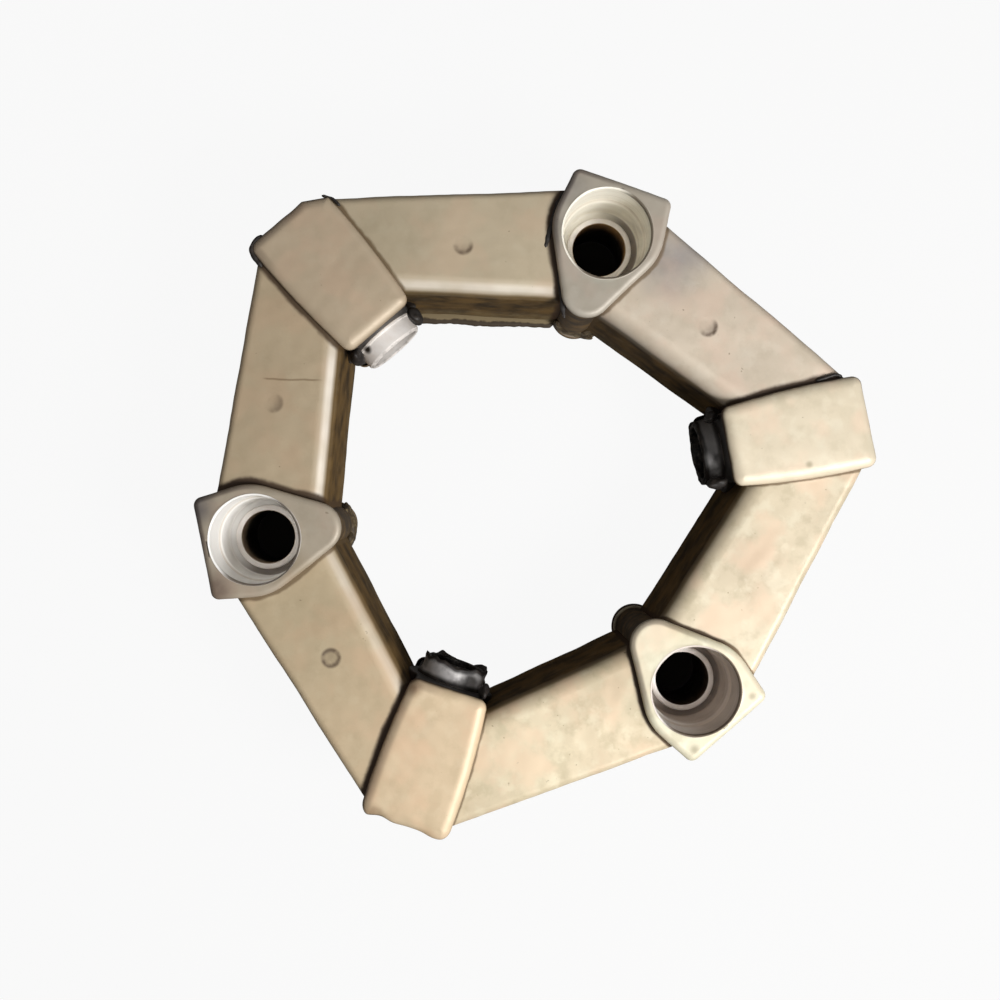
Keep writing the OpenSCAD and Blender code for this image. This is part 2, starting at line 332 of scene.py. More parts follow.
class Shell:
    """A grid of points in millimetres with its quads and its painted values."""

    def __init__(self, points, close_rows=False, close_cols=False, **paint):
        self.points = points
        self.closed = (close_rows, close_cols)
        self.paint = paint

    def quads(self):
        """Its faces, as numbers of its own points."""
        return lay_grid(*self.points.shape[:2], *self.closed)

    def swell(self, height):
        """Moves each point along its normal by height, which may differ from point to point."""
        self.points = self.points + grid_normals(self.points, *self.closed) * height[..., None]

    def values(self, key):
        """One painted value at each point."""
        return np.broadcast_to(self.paint.get(key, PAINT[key]), self.points.shape[:2]).ravel()


def show(thing):
    """Puts an object into the scene."""
    bpy.context.scene.collection.objects.link(thing)


def make_piece(name, shells, finish, node=None):
    """Joins shells into one mesh in metres, closes seams and poles, and lets it ride."""
    mesh = bpy.data.meshes.new(name)
    starts = np.cumsum([0] + [shell.points[..., 0].size for shell in shells])
    points = np.concatenate([shell.points.reshape(-1, 3) for shell in shells]) * MM
    quads = np.concatenate([shell.quads() + start for shell, start in zip(shells, starts)])
    mesh.vertices.add(len(points))
    mesh.vertices.foreach_set("co", points.ravel())
    mesh.loops.add(quads.size)
    mesh.loops.foreach_set("vertex_index", quads.ravel().astype(np.int32))
    mesh.polygons.add(len(quads))
    mesh.polygons.foreach_set("loop_start", (np.arange(len(quads)) * 4).astype(np.int32))
    for key in PAINT:
        layer = mesh.attributes.new(key, "FLOAT", "POINT")
        values = np.concatenate([shell.values(key) for shell in shells])
        layer.data.foreach_set("value", values.astype(np.float32))
    mesh.update(calc_edges=True)
    work = bmesh.new()
    work.from_mesh(mesh)
    bmesh.ops.remove_doubles(work, verts=work.verts, dist=WELD * MM)
    bmesh.ops.recalc_face_normals(work, faces=work.faces)
    work.to_mesh(mesh)
    work.free()
    mesh.polygons.foreach_set("use_smooth", np.ones(len(mesh.polygons), bool))
    mesh.materials.append(finish)
    piece = bpy.data.objects.new(name, mesh)
    show(piece)
    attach(piece, "root")
    if node:
        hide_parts(node)


def tangent_angle(a, b):
    """Direction of the outward normal of the line that touches circles a and b."""
    dx, dy = b[0] - a[0], b[1] - a[1]
    return math.atan2(dy, dx) - math.pi / 2 + math.asin((a[2] - b[2]) / math.hypot(dx, dy))


def axial_outline(inset, spacing=0.5, fewest=14):
    """Outline of the axial plate, set in by inset: arcs of its circles joined by the lines
    that touch them. Its point count doesn't depend on the inset."""
    circles = AXIAL_CIRCLES
    count = len(circles)
    starts = [tangent_angle(circles[i - 1], circles[i]) for i in range(count)]
    turns = [(starts[(i + 1) % count] - starts[i]) % FULL_TURN for i in range(count)]
    runs = []
    for i, (x, y, r) in enumerate(circles):
        steps = max(fewest, int(r * turns[i] / spacing)) if turns[i] > 0.01 else 2
        angle = starts[i] + turns[i] * np.linspace(0, 1, steps)
        runs.append(together(x + (r - inset) * np.cos(angle), y + (r - inset) * np.sin(angle)))
    outline = []
    for i, run in enumerate(runs):
        after = runs[(i + 1) % count][0]
        gap = math.dist(circles[i][:2], circles[(i + 1) % count][:2])
        outline += [run, between(run[-1], after, inner_steps(max(3, int(gap / spacing))))]
    return np.concatenate(outline)


def radial_half(u):
    """Half the width of the radial plate at a distance u from the ring axis: a straight taper
    and, over it, a parabola that is highest half way along."""
    s = np.clip((u - RADIAL_U[0]) / (RADIAL_U[1] - RADIAL_U[0]), 0, 1)
    return RADIAL_HALF[0] + (RADIAL_HALF[1] - RADIAL_HALF[0]) * s + RADIAL_BOW * 4 * s * (1 - s)


def radial_outline(inset, corner_steps=10, side_steps=70, end_steps=36):
    """Outline of the radial plate set in by inset: bowed sides, straight ends, round corners."""
    r = max(RADIAL_CORNER - inset, 0.02)
    u0, u1 = RADIAL_U[0] + inset, RADIAL_U[1] - inset
    a = np.linspace(0, math.pi / 2, corner_steps)
    b = a[::-1]
    inner = together(u0 + r * (1 - np.cos(a)), radial_half(u0 + r) - inset - r * (1 - np.sin(a)))
    u = np.linspace(u0 + r, u1 - r, side_steps + 2)[1:-1]
    side = together(u, radial_half(u) - inset)
    outer = together(u1 - r * (1 - np.cos(b)), radial_half(u1 - r) - inset - r * (1 - np.sin(b)))
    upper = np.concatenate([inner, side, outer])
    lower = upper[::-1] * (1, -1)
    share = inner_steps(end_steps)
    return np.concatenate([upper, between(upper[-1], lower[0], share),
                           lower, between(lower[-1], upper[0], share)])


def section(*runs):
    """Joins runs of a section. A run is columns such as inset, blend, radius, height and
    seam, where single numbers are repeated to the length of the longest column."""
    return np.concatenate([np.atleast_2d(together(*run)) for run in runs])


def plate_edge(width, height):
    """Half section of a plate's edge, from its flat face round to its underside: inset,
    depth below the face, a weight for painted highlight and shade, which is strongest on the
    rounding, and height over the seam."""
    a = QUARTER
    side = np.linspace(height, PLATE_T - UNDER_R, 5)[1:-1]
    inset = np.concatenate([width * (1 - np.sin(a)), 0 * side, UNDER_R * (1 - np.cos(a[::2]))])
    depth = np.concatenate([height * (1 - np.cos(a)), side, PLATE_T - UNDER_R * (1 - np.sin(a[::2]))])
    wear = np.concatenate([np.sin(2 * a), 0 * side, 0 * a[::2]])
    return inset, depth, wear, PLATE_T - depth


def at_levels(plan, height):
    """Points in space over a grid of plan points with one height for each row."""
    return together(plan[..., 0], plan[..., 1], height[:, None])


def axial_bush(i, place, finish):
    """Closed surface over the outline and a section that runs from the foot of the bore
    outwards, up the side of the bush, in over its top and down the stepped bore. Between
    outline and bore a point slides along the line that joins them."""
    inset, depth, wear, seam = plate_edge(AXIAL_EDGE_W, AXIAL_EDGE_H)
    a = QUARTER
    neck_in = CORE_INSET - NECK_FILLET * (1 - np.sin(a))
    neck_z = PLATE_T + NECK_FILLET * (1 - np.cos(a))
    core_z = np.linspace(PLATE_T + NECK_FILLET, RING_H - PLATE_T - NECK_FILLET, 18)[1:-1]
    mouth = MOUTH_R + MOUTH_CHAMFER
    step_z = RING_H - STEP_DEPTH
    floor_z = RING_H - BORE_DEPTH
    rim_r = MOUTH_R + MOUTH_CHAMFER * (1 - np.sin(a))
    rim_z = RING_H - MOUTH_CHAMFER * (1 - np.cos(a))
    seat_z = np.linspace(step_z - (MOUTH_R - SEAT_R), floor_z + FLOOR_FILLET, 16)
    foot_r = SEAT_R - FLOOR_FILLET * (1 - np.cos(a))
    foot_z = floor_z + FLOOR_FILLET * (1 - np.sin(a))
    edge = AXIAL_EDGE_W
    far = PLATE_T
    profile = section(
        (edge, 1 - np.linspace(0, 1, 10)[:-1], SLEEVE_R, 0.0, 0.0, far),
        (inset, 0.0, mouth, depth, wear, seam),
        (neck_in, 0.0, mouth, neck_z, 0.0, far),
        (CORE_INSET, 0.0, mouth, core_z, 0.0, far),
        (neck_in[::-1], 0.0, mouth, RING_H - neck_z[::-1], 0.0, 0.0),
        (inset[::-1], 0.0, mouth, RING_H - depth[::-1], wear[::-1], seam[::-1]),
        (edge, np.linspace(0, 1, 22)[1:-1] ** 1.25, mouth, RING_H, 0.0, far),
        (edge, 1.0, rim_r, rim_z, 0.8, far),
        (edge, 1.0, MOUTH_R, np.linspace(RING_H - MOUTH_CHAMFER, step_z, 16)[1:], 0.0, far),
        (edge, 1.0, SEAT_R, seat_z, 0.0, far),
        (edge, 1.0, foot_r, foot_z, 0.0, far),
        (edge, 1.0, np.linspace(SEAT_R - FLOOR_FILLET, SLEEVE_R, 6)[1:], floor_z, 0.0, far),
        (edge, 1.0, SLEEVE_R, np.linspace(floor_z, 0, 10)[1:], 0.0, far))
    insets, blend, radius, height, worn, over_seam = profile.T
    outlines = {value: axial_outline(value) for value in np.unique(insets)}
    plan = np.stack([outlines[value] for value in insets])
    centre = np.array((BOLT_U, 0.0))
    away = plan - centre
    away /= np.linalg.norm(away, axis=-1, keepdims=True)
    rim = centre + away * radius[:, None, None]
    plan = between(plan, rim, blend[:, None, None])
    points = turn_to(at_levels(plan, height), place)
    facing = turn_to(away, place)
    bore = np.where(blend >= 1, np.clip((RING_H - height) / BORE_DEPTH, 0, 1), 0)[:, None]
    bore = np.where((height > 1)[:, None] & (blend >= 1)[:, None], np.maximum(bore, 0.02), 0)
    shell = Shell(points, True, True, wear=worn[:, None], seam=over_seam[:, None], bore=bore,
                  lee=lee(facing[..., 0], facing[..., 1]))
    rough = 1 - smooth(blend, 0.8, 1.0)[:, None]
    wave = waviness(shell.points, (0.04, 17, 40 + i), (0.012, 4, 50 + i)) + AXIAL_SINK
    shell.swell(rough * wave)
    make_piece(f"axial_casting_{i}", [shell], finish, f"axial_bush_{i}")


def cut_back(plan, angle, reach, share=1.0):
    """Plan points of a radial bush with those past a straight line moved back onto it, or a
    share of the way. The line is given by the angle of its normal and its reach from the
    middle of the bush."""
    normal = np.array((math.cos(angle), math.sin(angle)))
    past = (plan - (sum(RADIAL_U) / 2, 0)) @ normal - reach
    return plan - (share * np.maximum(past, 0))[..., None] * normal


def radial_plate(place, upper, seed, wavy=0.0, cut=None):
    """Closed slab over the radial outline. Its two faces close on a spine along the middle:
    a point of the outline slides straight to the nearest point of the spine. The flat face and
    its rounding are slightly wavy, but not below the floor, and wavy is the unevenness of the
    outer end in plan. A cut, if there is one, moves what lies past its line back onto it."""
    inset, depth, wear, seam = plate_edge(RADIAL_EDGE_W, RADIAL_EDGE_H)
    face = np.linspace(1, 0, 15)[:-1]
    profile = section(
        (RADIAL_EDGE_W, face, 0.0, 0.0, PLATE_T),
        (inset, 0.0, depth, wear, seam),
        (inset[-1], 1 - face[::-1], PLATE_T, 0.0, 0.0),
        (inset[-1], 1.0, PLATE_T, 0.0, 0.0))
    insets, blend, depth, worn, over_seam = profile.T
    plan = np.stack([radial_outline(value) for value in insets])
    half = RADIAL_HALF[0]
    flat = np.pad(plan, ((0, 0), (0, 0), (0, 1)))
    uneven = ripple(flat, 9, seed + 3) - 0.6
    plan[..., 0] += wavy * uneven * smooth(plan[..., 0], RADIAL_U[1] - 8, RADIAL_U[1] - 1)
    if cut:
        plan = cut_back(plan, cut[0], cut[1] - insets[:, None])
    spine = together(np.clip(plan[..., 0], RADIAL_U[0] + half, RADIAL_U[1] - half), 0)
    facing = turn_to(plan - spine + 1e-6, place)
    plan = between(plan, spine, blend[:, None, None])
    points = turn_to(at_levels(plan, RING_H - depth if upper else depth), place)
    wave = waviness(points, (0.07, 19, seed), (0.02, 5, seed + 7)) - RADIAL_SINK
    held = 1 - smooth(depth, 0.2, PLATE_T - UNDER_R)
    points[..., 2] += (1 if upper else -1) * wave * held[:, None]
    points[..., 2] = np.maximum(points[..., 2], 0)
    return Shell(points, False, True, wear=worn[:, None], seam=over_seam[:, None],
                 lee=lee(facing[..., 0], facing[..., 1]))


def radial_core(place, cut=None):
    """Closed surface round the bolt axis: a block whose sides swell into a barrel, with its
    end faces sliding in to the sleeve hole and to the recess for the bolt head."""
    steps = 40
    side = np.linspace(-1, 1, steps * 2)
    lid = np.linspace(-1, 1, steps)[1:-1]
    across = np.concatenate([np.ones(side.size), -lid, -np.ones(side.size), lid])
    along = np.concatenate([side, np.ones(lid.size), -side, -np.ones(lid.size)])
    high = MID_Z - PLATE_T + CORE_BITE
    u0, u1 = RADIAL_U[0] + CORE_INSET, RADIAL_U[1] - CORE_INSET
    a = QUARTER[::2]
    r = CORE_CORNER
    floor_u = RADIAL_U[1] - RECESS_DEPTH
    mouth = RECESS_R + MOUTH_CHAMFER
    profile = section(
        (r, np.linspace(1, 0, 12)[:-1], SLEEVE_R, u0),
        (r * (1 - np.sin(a)), 0.0, SLEEVE_R, u0 + r * (1 - np.cos(a))),
        (0.0, 0.0, SLEEVE_R, np.linspace(u0 + r, u1 - r, 24)[1:-1]),
        (r * (1 - np.cos(a)), 0.0, mouth, u1 - r * (1 - np.sin(a))),
        (r, np.linspace(0, 1, 12)[1:], mouth, u1),
        (r, 1.0, RECESS_R + MOUTH_CHAMFER * (1 - np.sin(a[1:])),
         u1 - MOUTH_CHAMFER * (1 - np.cos(a[1:]))),
        (r, 1.0, RECESS_R, np.linspace(u1 - MOUTH_CHAMFER, floor_u, 16)[1:]),
        (r, 1.0, np.linspace(RECESS_R, SLEEVE_R, 5)[1:], floor_u),
        (r, 1.0, SLEEVE_R, np.linspace(floor_u, u0, 12)[1:-1]))
    insets, blend, radius, u = profile[:, :, None].transpose(1, 0, 2)
    z = along * high
    t = across * (radial_half(u) - CORE_INSET - insets)
    barrel = np.sqrt(np.maximum(BARREL_R ** 2 - z ** 2, 0)) - insets
    t = np.where(np.abs(across) == 1, np.sign(across) * np.maximum(np.abs(t), barrel), t)
    reach = np.hypot(t, z)
    plan = together(u, between(t, t / reach * radius, blend))
    level = MID_Z + between(z, z / reach * radius, blend)
    if cut:
        plan = cut_back(plan, cut[0], cut[1] - CORE_INSET, smooth(level, *CUT_FADE))
    points = turn_to(together(plan[..., 0], plan[..., 1], level), place)
    bore = np.where((blend >= 1) & (u < u1), np.clip((u1 - u) / RECESS_DEPTH, 0.02, 1), 0)
    return Shell(points, True, True, bore=bore)


def radial_bush(i, place, finish):
    """Two plates and a core. The upper plate of bush 3 has an uneven outer end, and that of
    bush 2 a worn corner."""
    wavy = RAGGED_ENDS.get(i, EVEN_END)
    cut = WORN_CORNER if i == 2 else None
    shells = [radial_plate(place, True, 60 + i, wavy, cut), radial_plate(place, False, 70 + i),
              radial_core(place, cut)]
    make_piece(f"radial_casting_{i}", shells, finish, f"radial_bush_{i}")


def lathe(profile, steps=128):
    """Closed surface turned about +Z from a closed profile of radius and height."""
    angle = around(steps)
    r, h = profile.T[:, :, None]
    return Shell(together(r * np.cos(angle), r * np.sin(angle), h), True, True)


def rounded(corners, radius, steps=4, spacing=0.8):
    """Closed profile with each corner rounded: two straight runs are cut back from it and
    joined by a curve whose control point is the corner."""
    corners = np.asarray(corners, float)
    before = np.roll(corners, 1, 0) - corners
    after = np.roll(corners, -1, 0) - corners
    length_before = np.linalg.norm(before, axis=1)
    length_after = np.linalg.norm(after, axis=1)
    cut = np.minimum(radius, 0.45 * np.minimum(length_before, length_after))[:, None]
    starts = corners + before / length_before[:, None] * cut
    ends = corners + after / length_after[:, None] * cut
    t = np.linspace(0, 1, steps)[:, None]
    points = []
    for k, corner in enumerate(corners):
        points.append(starts[k] * (1 - t) ** 2 + 2 * corner * t * (1 - t) + ends[k] * t ** 2)
        following = starts[(k + 1) % len(corners)]
        fill = inner_steps(int(np.linalg.norm(following - ends[k]) / spacing))
        points.append(between(ends[k], following, fill))
    return np.concatenate(points)


def sleeve_shell(length, chamfer, spigot):
    """Sleeve turned about +Z from its inner end at height 0, with painted shade down its bore."""
    end_r = SPIGOT_R if spigot else SLEEVE_R
    lip = 0.5 * chamfer
    corners = [(BOLT_R + lip, 0), (end_r - chamfer, 0), (end_r, chamfer)]
    if spigot:
        corners += [(SPIGOT_R, SPIGOT_L), (SLEEVE_R, SPIGOT_L)]
    corners += [(SLEEVE_R, length - chamfer), (SLEEVE_R - chamfer, length), (BOLT_R + lip, length),
                (BOLT_R, length - lip), (BOLT_R, lip)]
    shell = lathe(rounded(corners, 0.12))
    radius = np.hypot(shell.points[..., 0], shell.points[..., 1])
    # Mask for the painted shade down the bore
    shell.paint["soot"] = smooth(BOLT_R + 0.25 - radius, 0, 0.2)
    if spigot:
        shell.paint["soot"] *= 0.25 + 0.75 * smooth(shell.points[..., 2], 2, 11)
    shell.paint["wear"] = smooth(1.1 - shell.points[..., 2], 0, 0.6)
    return shell


def axial_sleeve(i, place, finish):
    """A sleeve that stands at the bolt circle, with its inner end on the lower face."""
    shell = sleeve_shell(RING_H - BORE_DEPTH + SLEEVE_STAND, AXIAL_CHAMFER, False)
    shell.points = turn_to(shell.points + (BOLT_U, 0, 0), place)
    make_piece(f"axial_liner_{i}", [shell], finish, f"axial_sleeve_{i}")


def radial_sleeve(i, place, finish):
    """A sleeve laid along the radius at half height: its height becomes distance outwards."""
    shell = sleeve_shell(RADIAL_U[1] - RECESS_DEPTH - SLEEVE_U, RADIAL_CHAMFER, True)
    x, y, z = np.moveaxis(shell.points, -1, 0)
    shell.points = turn_to(together(SLEEVE_U + z, y, MID_Z - x), place)
    make_piece(f"radial_liner_{i}", [shell], finish, f"radial_sleeve_{i}")


def lump(place, u, t, height, half, seed):
    """Lump of rubber at a bush: a ball stretched to its half sizes and made uneven, which
    stays above the floor."""
    polar = np.linspace(0, math.pi, 26)[:, None]
    turn = around(40)
    ball = together(np.sin(polar) * np.cos(turn), np.sin(polar) * np.sin(turn), np.cos(polar))
    uneven = 1 + 0.10 * ripple(ball, 1.6, seed)[..., None]
    points = turn_to(ball * half * uneven + (u, t, height), place)
    points[..., 2] = np.maximum(points[..., 2], LUMP_FOOT)
    return Shell(points, False, True)


def ridge(place, height, half, rise, run, seed):
    """Low ragged ridge: an uneven round section carried along a run that is turned to a place
    and smoothed by a moving mean. It narrows to a point at both ends."""
    run = turn_to(np.asarray(run), place)
    lengths = lengths_along(run)
    along = np.linspace(0, lengths[-1], 60)
    path = points_along(run, lengths, along)
    padded = np.pad(path, ((5, 5), (0, 0)), mode="reflect", reflect_type="odd")
    path = together(*[np.convolve(column, np.ones(11) / 11, "valid") for column in padded.T])
    way = np.gradient(path, axis=0)
    way /= np.linalg.norm(way, axis=1, keepdims=True)
    side = together(-way[:, 1], way[:, 0])
    share = along / lengths[-1]
    size = np.clip(np.minimum(share, 1 - share) * 8, 0, 1) ** 0.5
    size *= 1 + waviness(np.pad(path, ((0, 0), (0, 1))), (0.15, 3.0, seed))
    angle = around(14)
    plan = path[:, None] + side[:, None] * (size[:, None] * half * np.cos(angle))[..., None]
    level = height + size[:, None] * rise * np.sin(angle)
    return Shell(together(plan[..., 0], plan[..., 1], level), False, True)


def skin(place, seed, ragged, steps=180):
    """Rubber film round the free end of a radial sleeve, worn down to the steel half way
    along. Ragged is how uneven its free edge is."""
    angle = around(steps)
    ring = together(np.cos(angle), np.sin(angle), 0) * SLEEVE_R
    torn = ragged * (waviness(ring, (0.7, 13, seed), (0.22, 3.4, seed + 1)) + 0.2)
    foot = RADIAL_U[0] + CORE_INSET + 0.3
    tip = SLEEVE_U + 0.2 - np.clip(torn, -SKIN_SHORT, SKIN_LONG)
    share = np.linspace(0, 1, 15)[:, None]
    worn = smooth(share, 0.14, 0.34) * (1 - smooth(share, 0.70, 0.88))
    outer = between(foot, tip, share)
    thick = SKIN_T + 0.07 * ripple(ring, 9, seed + 2) - SKIN_WEAR * worn
    out_r = SPIGOT_R + thick + 0.8 * (1 - smooth(share, 0, 0.35)) - 0.25 * share ** 6
    inner = tip + (foot - tip) * np.linspace(0.02, 1, 4)[:, None]
    r = np.concatenate([out_r, np.full((4, steps), SPIGOT_R - 0.15)])
    u = np.concatenate([outer, inner])
    points = together(u, r * np.cos(angle), MID_Z + r * np.sin(angle))
    return Shell(turn_to(points, place), True, True, soot=np.concatenate([worn, np.zeros((4, 1))]))


def fin(place, flip, seed):
    """Thin uneven flash along the lower inner edge of a leg, drawn to a point at both ends
    and painted by its distance from the leg's wall. Its section is rows of a share of its
    reach, or of millimetres into the leg, and a height."""
    (radial, axial), n_in = leg_ends()
    s = np.linspace(0.02, 0.98, 150)[:, None]
    wall = between(radial[0], axial[0], s)
    ends = smooth(np.minimum(s, 1 - s), 0, 0.05)
    flat = np.pad(wall, ((0, 0), (0, 1)))
    wide = (FLASH_REACH + waviness(flat, (0.28, 13, seed), (0.08, 3, seed + 1))[:, None]) * ends
    low = RING_H - LEG_TOP
    high = low + FLASH_T
    rows = [(-FLASH_ROOT, low), (-FLASH_ROOT, high), (0.0, high), (0.25, high), (0.5, high),
            (0.75, high - 0.1), (1.0, low + 0.35), (0.97, low), (0.0, low - 0.3)]
    points = np.stack([np.concatenate([wall - n_in * (wide * share if share > 0 else share),
                                       0 * wide + z], -1) for share, z in rows], 1)
    points[[0, -1]] = points[[0, -1]].mean(1, keepdims=True)
    out = np.array([max(share, 0) if z > low else 1 for share, z in rows])[None]
    return Shell(turn_to(points, place, flip), False, True, wall=out)


def part_of(curve, start_value, end_value, count):
    """Part of a curve between two places where the given values pass zero, evenly spaced."""
    lengths = lengths_along(curve)
    begin = np.interp(0, start_value, lengths)
    end = np.interp(0, end_value, lengths)
    return points_along(curve, lengths, np.linspace(begin, end, count))


def leg_ends():
    """The two curves in plan on which a leg ends, from its inner to its outer wall: along the
    core of the radial bush at place 0 and along the core of the axial bush at place 1. Also
    the direction across the leg."""
    n_in = np.array((math.cos(LEG_INNER[1]), math.sin(LEG_INNER[1])))
    n_out = np.array((math.cos(LEG_OUTER[1]), math.sin(LEG_OUTER[1])))
    u = np.linspace(*CORE_SIDE, 200)
    radial = together(u, radial_half(u) - CORE_INSET - LEG_BITE)
    outline = axial_outline(CORE_INSET + LEG_BITE)
    outer_corner = AXIAL_CIRCLES[2][0]
    axial = turn_to(outline[(outline[:, 1] < 0) & (outline[:, 0] < outer_corner)], 1)
    return [part_of(curve, curve @ n_in - LEG_INNER[0], curve @ n_out - LEG_OUTER[0], 80)
            for curve in (radial, axial)], n_in


def leg_loop():
    """Section round a leg: share of its width, offset from that in millimetres, and height.
    The lower half mirrors the upper one."""
    a = QUARTER[1:-1]
    f = np.linspace(0, 1, 52)
    ri, ro = LEG_INNER_EDGE, LEG_OUTER_EDGE
    wall = np.linspace(0, 1, 14)
    share = np.concatenate([0 * wall, 0 * a, f, 0 * a + 1, 0 * wall + 1])
    offset = np.concatenate([0 * wall, ri * (1 - np.cos(a)), ri * (1 - f) - ro * f,
                             -ro * (1 - np.sin(a)), 0 * wall])
    height = np.concatenate([MID_Z + (LEG_TOP - ri - MID_Z) * wall, LEG_TOP - ri * (1 - np.sin(a)),
                             0 * f + LEG_TOP, LEG_TOP - ro * (1 - np.cos(a)),
                             LEG_TOP - ro - (LEG_TOP - ro - MID_Z) * wall])
    return (np.concatenate([share, share[::-1]]), np.concatenate([offset, offset[::-1]]),
            np.concatenate([height, RING_H - height[::-1]]))


def seam_distance(points, outlines):
    """Distance in plan from points to the nearest of some outlines, below zero inside them,
    and how shaded that side of the plate is."""
    best = np.full(points.shape[:2], FAR)
    shaded = np.full(points.shape[:2], 0.5)
    for outline in outlines:
        along = np.roll(outline, -1, 0) - np.roll(outline, 1, 0)
        normal = along[:, ::-1] * (1, -1)
        normal *= np.sign((normal * (outline - outline.mean(0))).sum())
        reach = points[..., None, :2] - outline
        far = np.hypot(reach[..., 0], reach[..., 1])
        k = far.argmin(-1)
        near = np.take_along_axis(far, k[..., None], -1)[..., 0]
        way = np.take_along_axis(reach, k[..., None, None], -2)[..., 0, :]
        near = near * np.where((way * normal[k]).sum(-1) < 0, -1, 1)
        shaded = np.where(near < best, lee(normal[k][..., 0], normal[k][..., 1]), shaded)
        best = np.minimum(best, near)
    return best, shaded


def leg(i, place, flip, finish):
    """Closed surface along a leg: at each step the section loop is laid between the two walls,
    and the plan of every point is the straight line between the two end curves. The end faces
    fold in to half height."""
    (radial, axial), n_in = leg_ends()
    share, offset, height = leg_loop()
    steps = np.linspace(0, 1, 108)
    s = np.concatenate([[0], 0.8 * steps + 0.2 * smooth(steps, 0, 1), [1]])[:, None]
    across = between(radial[-1] - radial[0], axial[-1] - axial[0], s)
    width = (across @ n_in)[:, None]
    w = share + offset / width
    line = np.linspace(0, 1, len(radial))
    plan = between(points_along(radial, line, w), points_along(axial, line, w), s[..., None])
    z = np.broadcast_to(height, w.shape).copy()
    z[[0, -1]] = MID_Z
    points = turn_to(together(plan[..., 0], plan[..., 1], z), place, flip)
    plates = [turn_to(radial_outline(0), place, flip),
              turn_to(axial_outline(0), place + (-1 if flip else 1))]
    seam, shaded = seam_distance(points, plates)
    down = np.clip((LEG_TOP - z) / (LEG_TOP - MID_Z), 0, 1)
    from_wall = w * width
    on_wall = 1 - smooth(from_wall, 0.0, 2.5)
    bare = on_wall * smooth(down, *WALL_STARTS.get(i, WALL_START))
    # Painted highlight along the rounding of the inner edge, on the upper half
    crest_highlight = smooth(from_wall, 0.8, 1.8) * (1 - smooth(from_wall, 2.6, 4.8)) * (z > MID_Z)
    seam = np.minimum(seam + 0.9 * smooth(down, 0.05, 0.2), FAR)
    shell = Shell(points, False, True, wall=bare, wear=crest_highlight, seam=seam, lee=shaded,
                  soot=1 - smooth(z, 0, 14))
    held = smooth(np.minimum(s, 1 - s), 0, 0.06)
    shell.swell(held * waviness(shell.points, (0.08, 24, 80 + i), (0.02, 6, 90 + i)))
    make_piece(f"moulded_leg_{i}", [shell], finish, f"rubber_leg_{i}")


class Finish:
    """A node material under construction, with its shader and short ways to add nodes."""

    def __init__(self, name):
        self.material = bpy.data.materials.new(name)
        self.material.use_nodes = True
        self.tree = self.material.node_tree
        self.tree.nodes.clear()
        self.surface = self.tree.nodes.new("ShaderNodeOutputMaterial").inputs["Surface"]
        self.shader = self.add("BsdfPrincipled")
        self.give(self.surface, self.shader.outputs["BSDF"])
        self.place = self.add("TexCoord").outputs["Object"]

    def give(self, socket, value):
        """Links a value that is a socket, or sets one that is a constant."""
        if isinstance(value, bpy.types.NodeSocket):
            self.tree.links.new(value, socket)
        else:
            socket.default_value = value

    def add(self, kind, values=(), **settings):
        """Adds a node. values holds pairs of an input, by name or number, and its value."""
        node = self.tree.nodes.new("ShaderNode" + kind)
        for key, value in settings.items():
            setattr(node, key, value)
        for key, value in dict(values).items():
            self.give(node.inputs[key], value)
        return node

    def noise(self, size_mm, seed, detail=2.0, rough=0.5, place=None):
        """Noise whose features are about size_mm across."""
        values = {"Vector": place or self.place, "W": seed, "Scale": 1 / (size_mm * MM),
                  "Detail": detail, "Roughness": rough}
        return self.add("TexNoise", values, noise_dimensions="4D").outputs["Fac"]

    def paint(self, name):
        """A painted value of the piece, one of those in PAINT."""
        return self.add("Attribute", attribute_name=name).outputs["Fac"]

    def spread(self, value, low, high, to_low=0.0, to_high=1.0):
        """Smoothly maps low..high to to_low..to_high."""
        values = {"Value": value, "From Min": low, "From Max": high, "To Min": to_low, "To Max": to_high}
        return self.add("MapRange", values, interpolation_type="SMOOTHSTEP").outputs["Result"]

    def math(self, operation, a, b=0.0):
        """One number worked out from two."""
        return self.add("Math", {0: a, 1: b}, operation=operation).outputs[0]

    def times(self, first, *others):
        """Product of numbers or masks."""
        for other in others:
            first = self.math("MULTIPLY", first, other)
        return first

    def vector(self, operation, a, b=(0, 0, 0)):
        """Vector maths that gives a number, or a vector where it subtracts."""
        node = self.add("VectorMath", {0: a, 1: b}, operation=operation)
        return node.outputs["Vector" if operation == "SUBTRACT" else "Value"]

    def mix(self, factor, a, b):
        """Colour that goes from a to b with the factor."""
        return self.add("Mix", {0: factor, 6: a, 7: b}, data_type="RGBA").outputs[2]

    def bump(self, height, depth_mm, strength=1.0, normal=None):
        """Normal tilted by a height map whose full range is depth_mm."""
        values = {"Height": height, "Distance": depth_mm * MM, "Strength": strength}
        if normal:
            values["Normal"] = normal
        return self.add("Bump", values).outputs["Normal"]

    def height(self):
        """Height of the point over the floor in millimetres."""
        return self.math("DIVIDE", self.add("SeparateXYZ", {0: self.place}).outputs["Z"], MM)

    def done(self, **values):
        """Gives the shader its own sockets and hands over the material."""
        for name, value in values.items():
            label = name.replace("_", " ").title().replace("Ior", "IOR")
            self.give(self.shader.inputs[label], value)
        return self.material


def shade(r, g, b):
    """Linear colour of an sRGB shade given from 0 to 255."""
    share = [c / 255 for c in (r, g, b)]
    return (*[c / 12.92 if c <= 0.04045 else ((c + 0.055) / 1.055) ** 2.4 for c in share], 1.0)


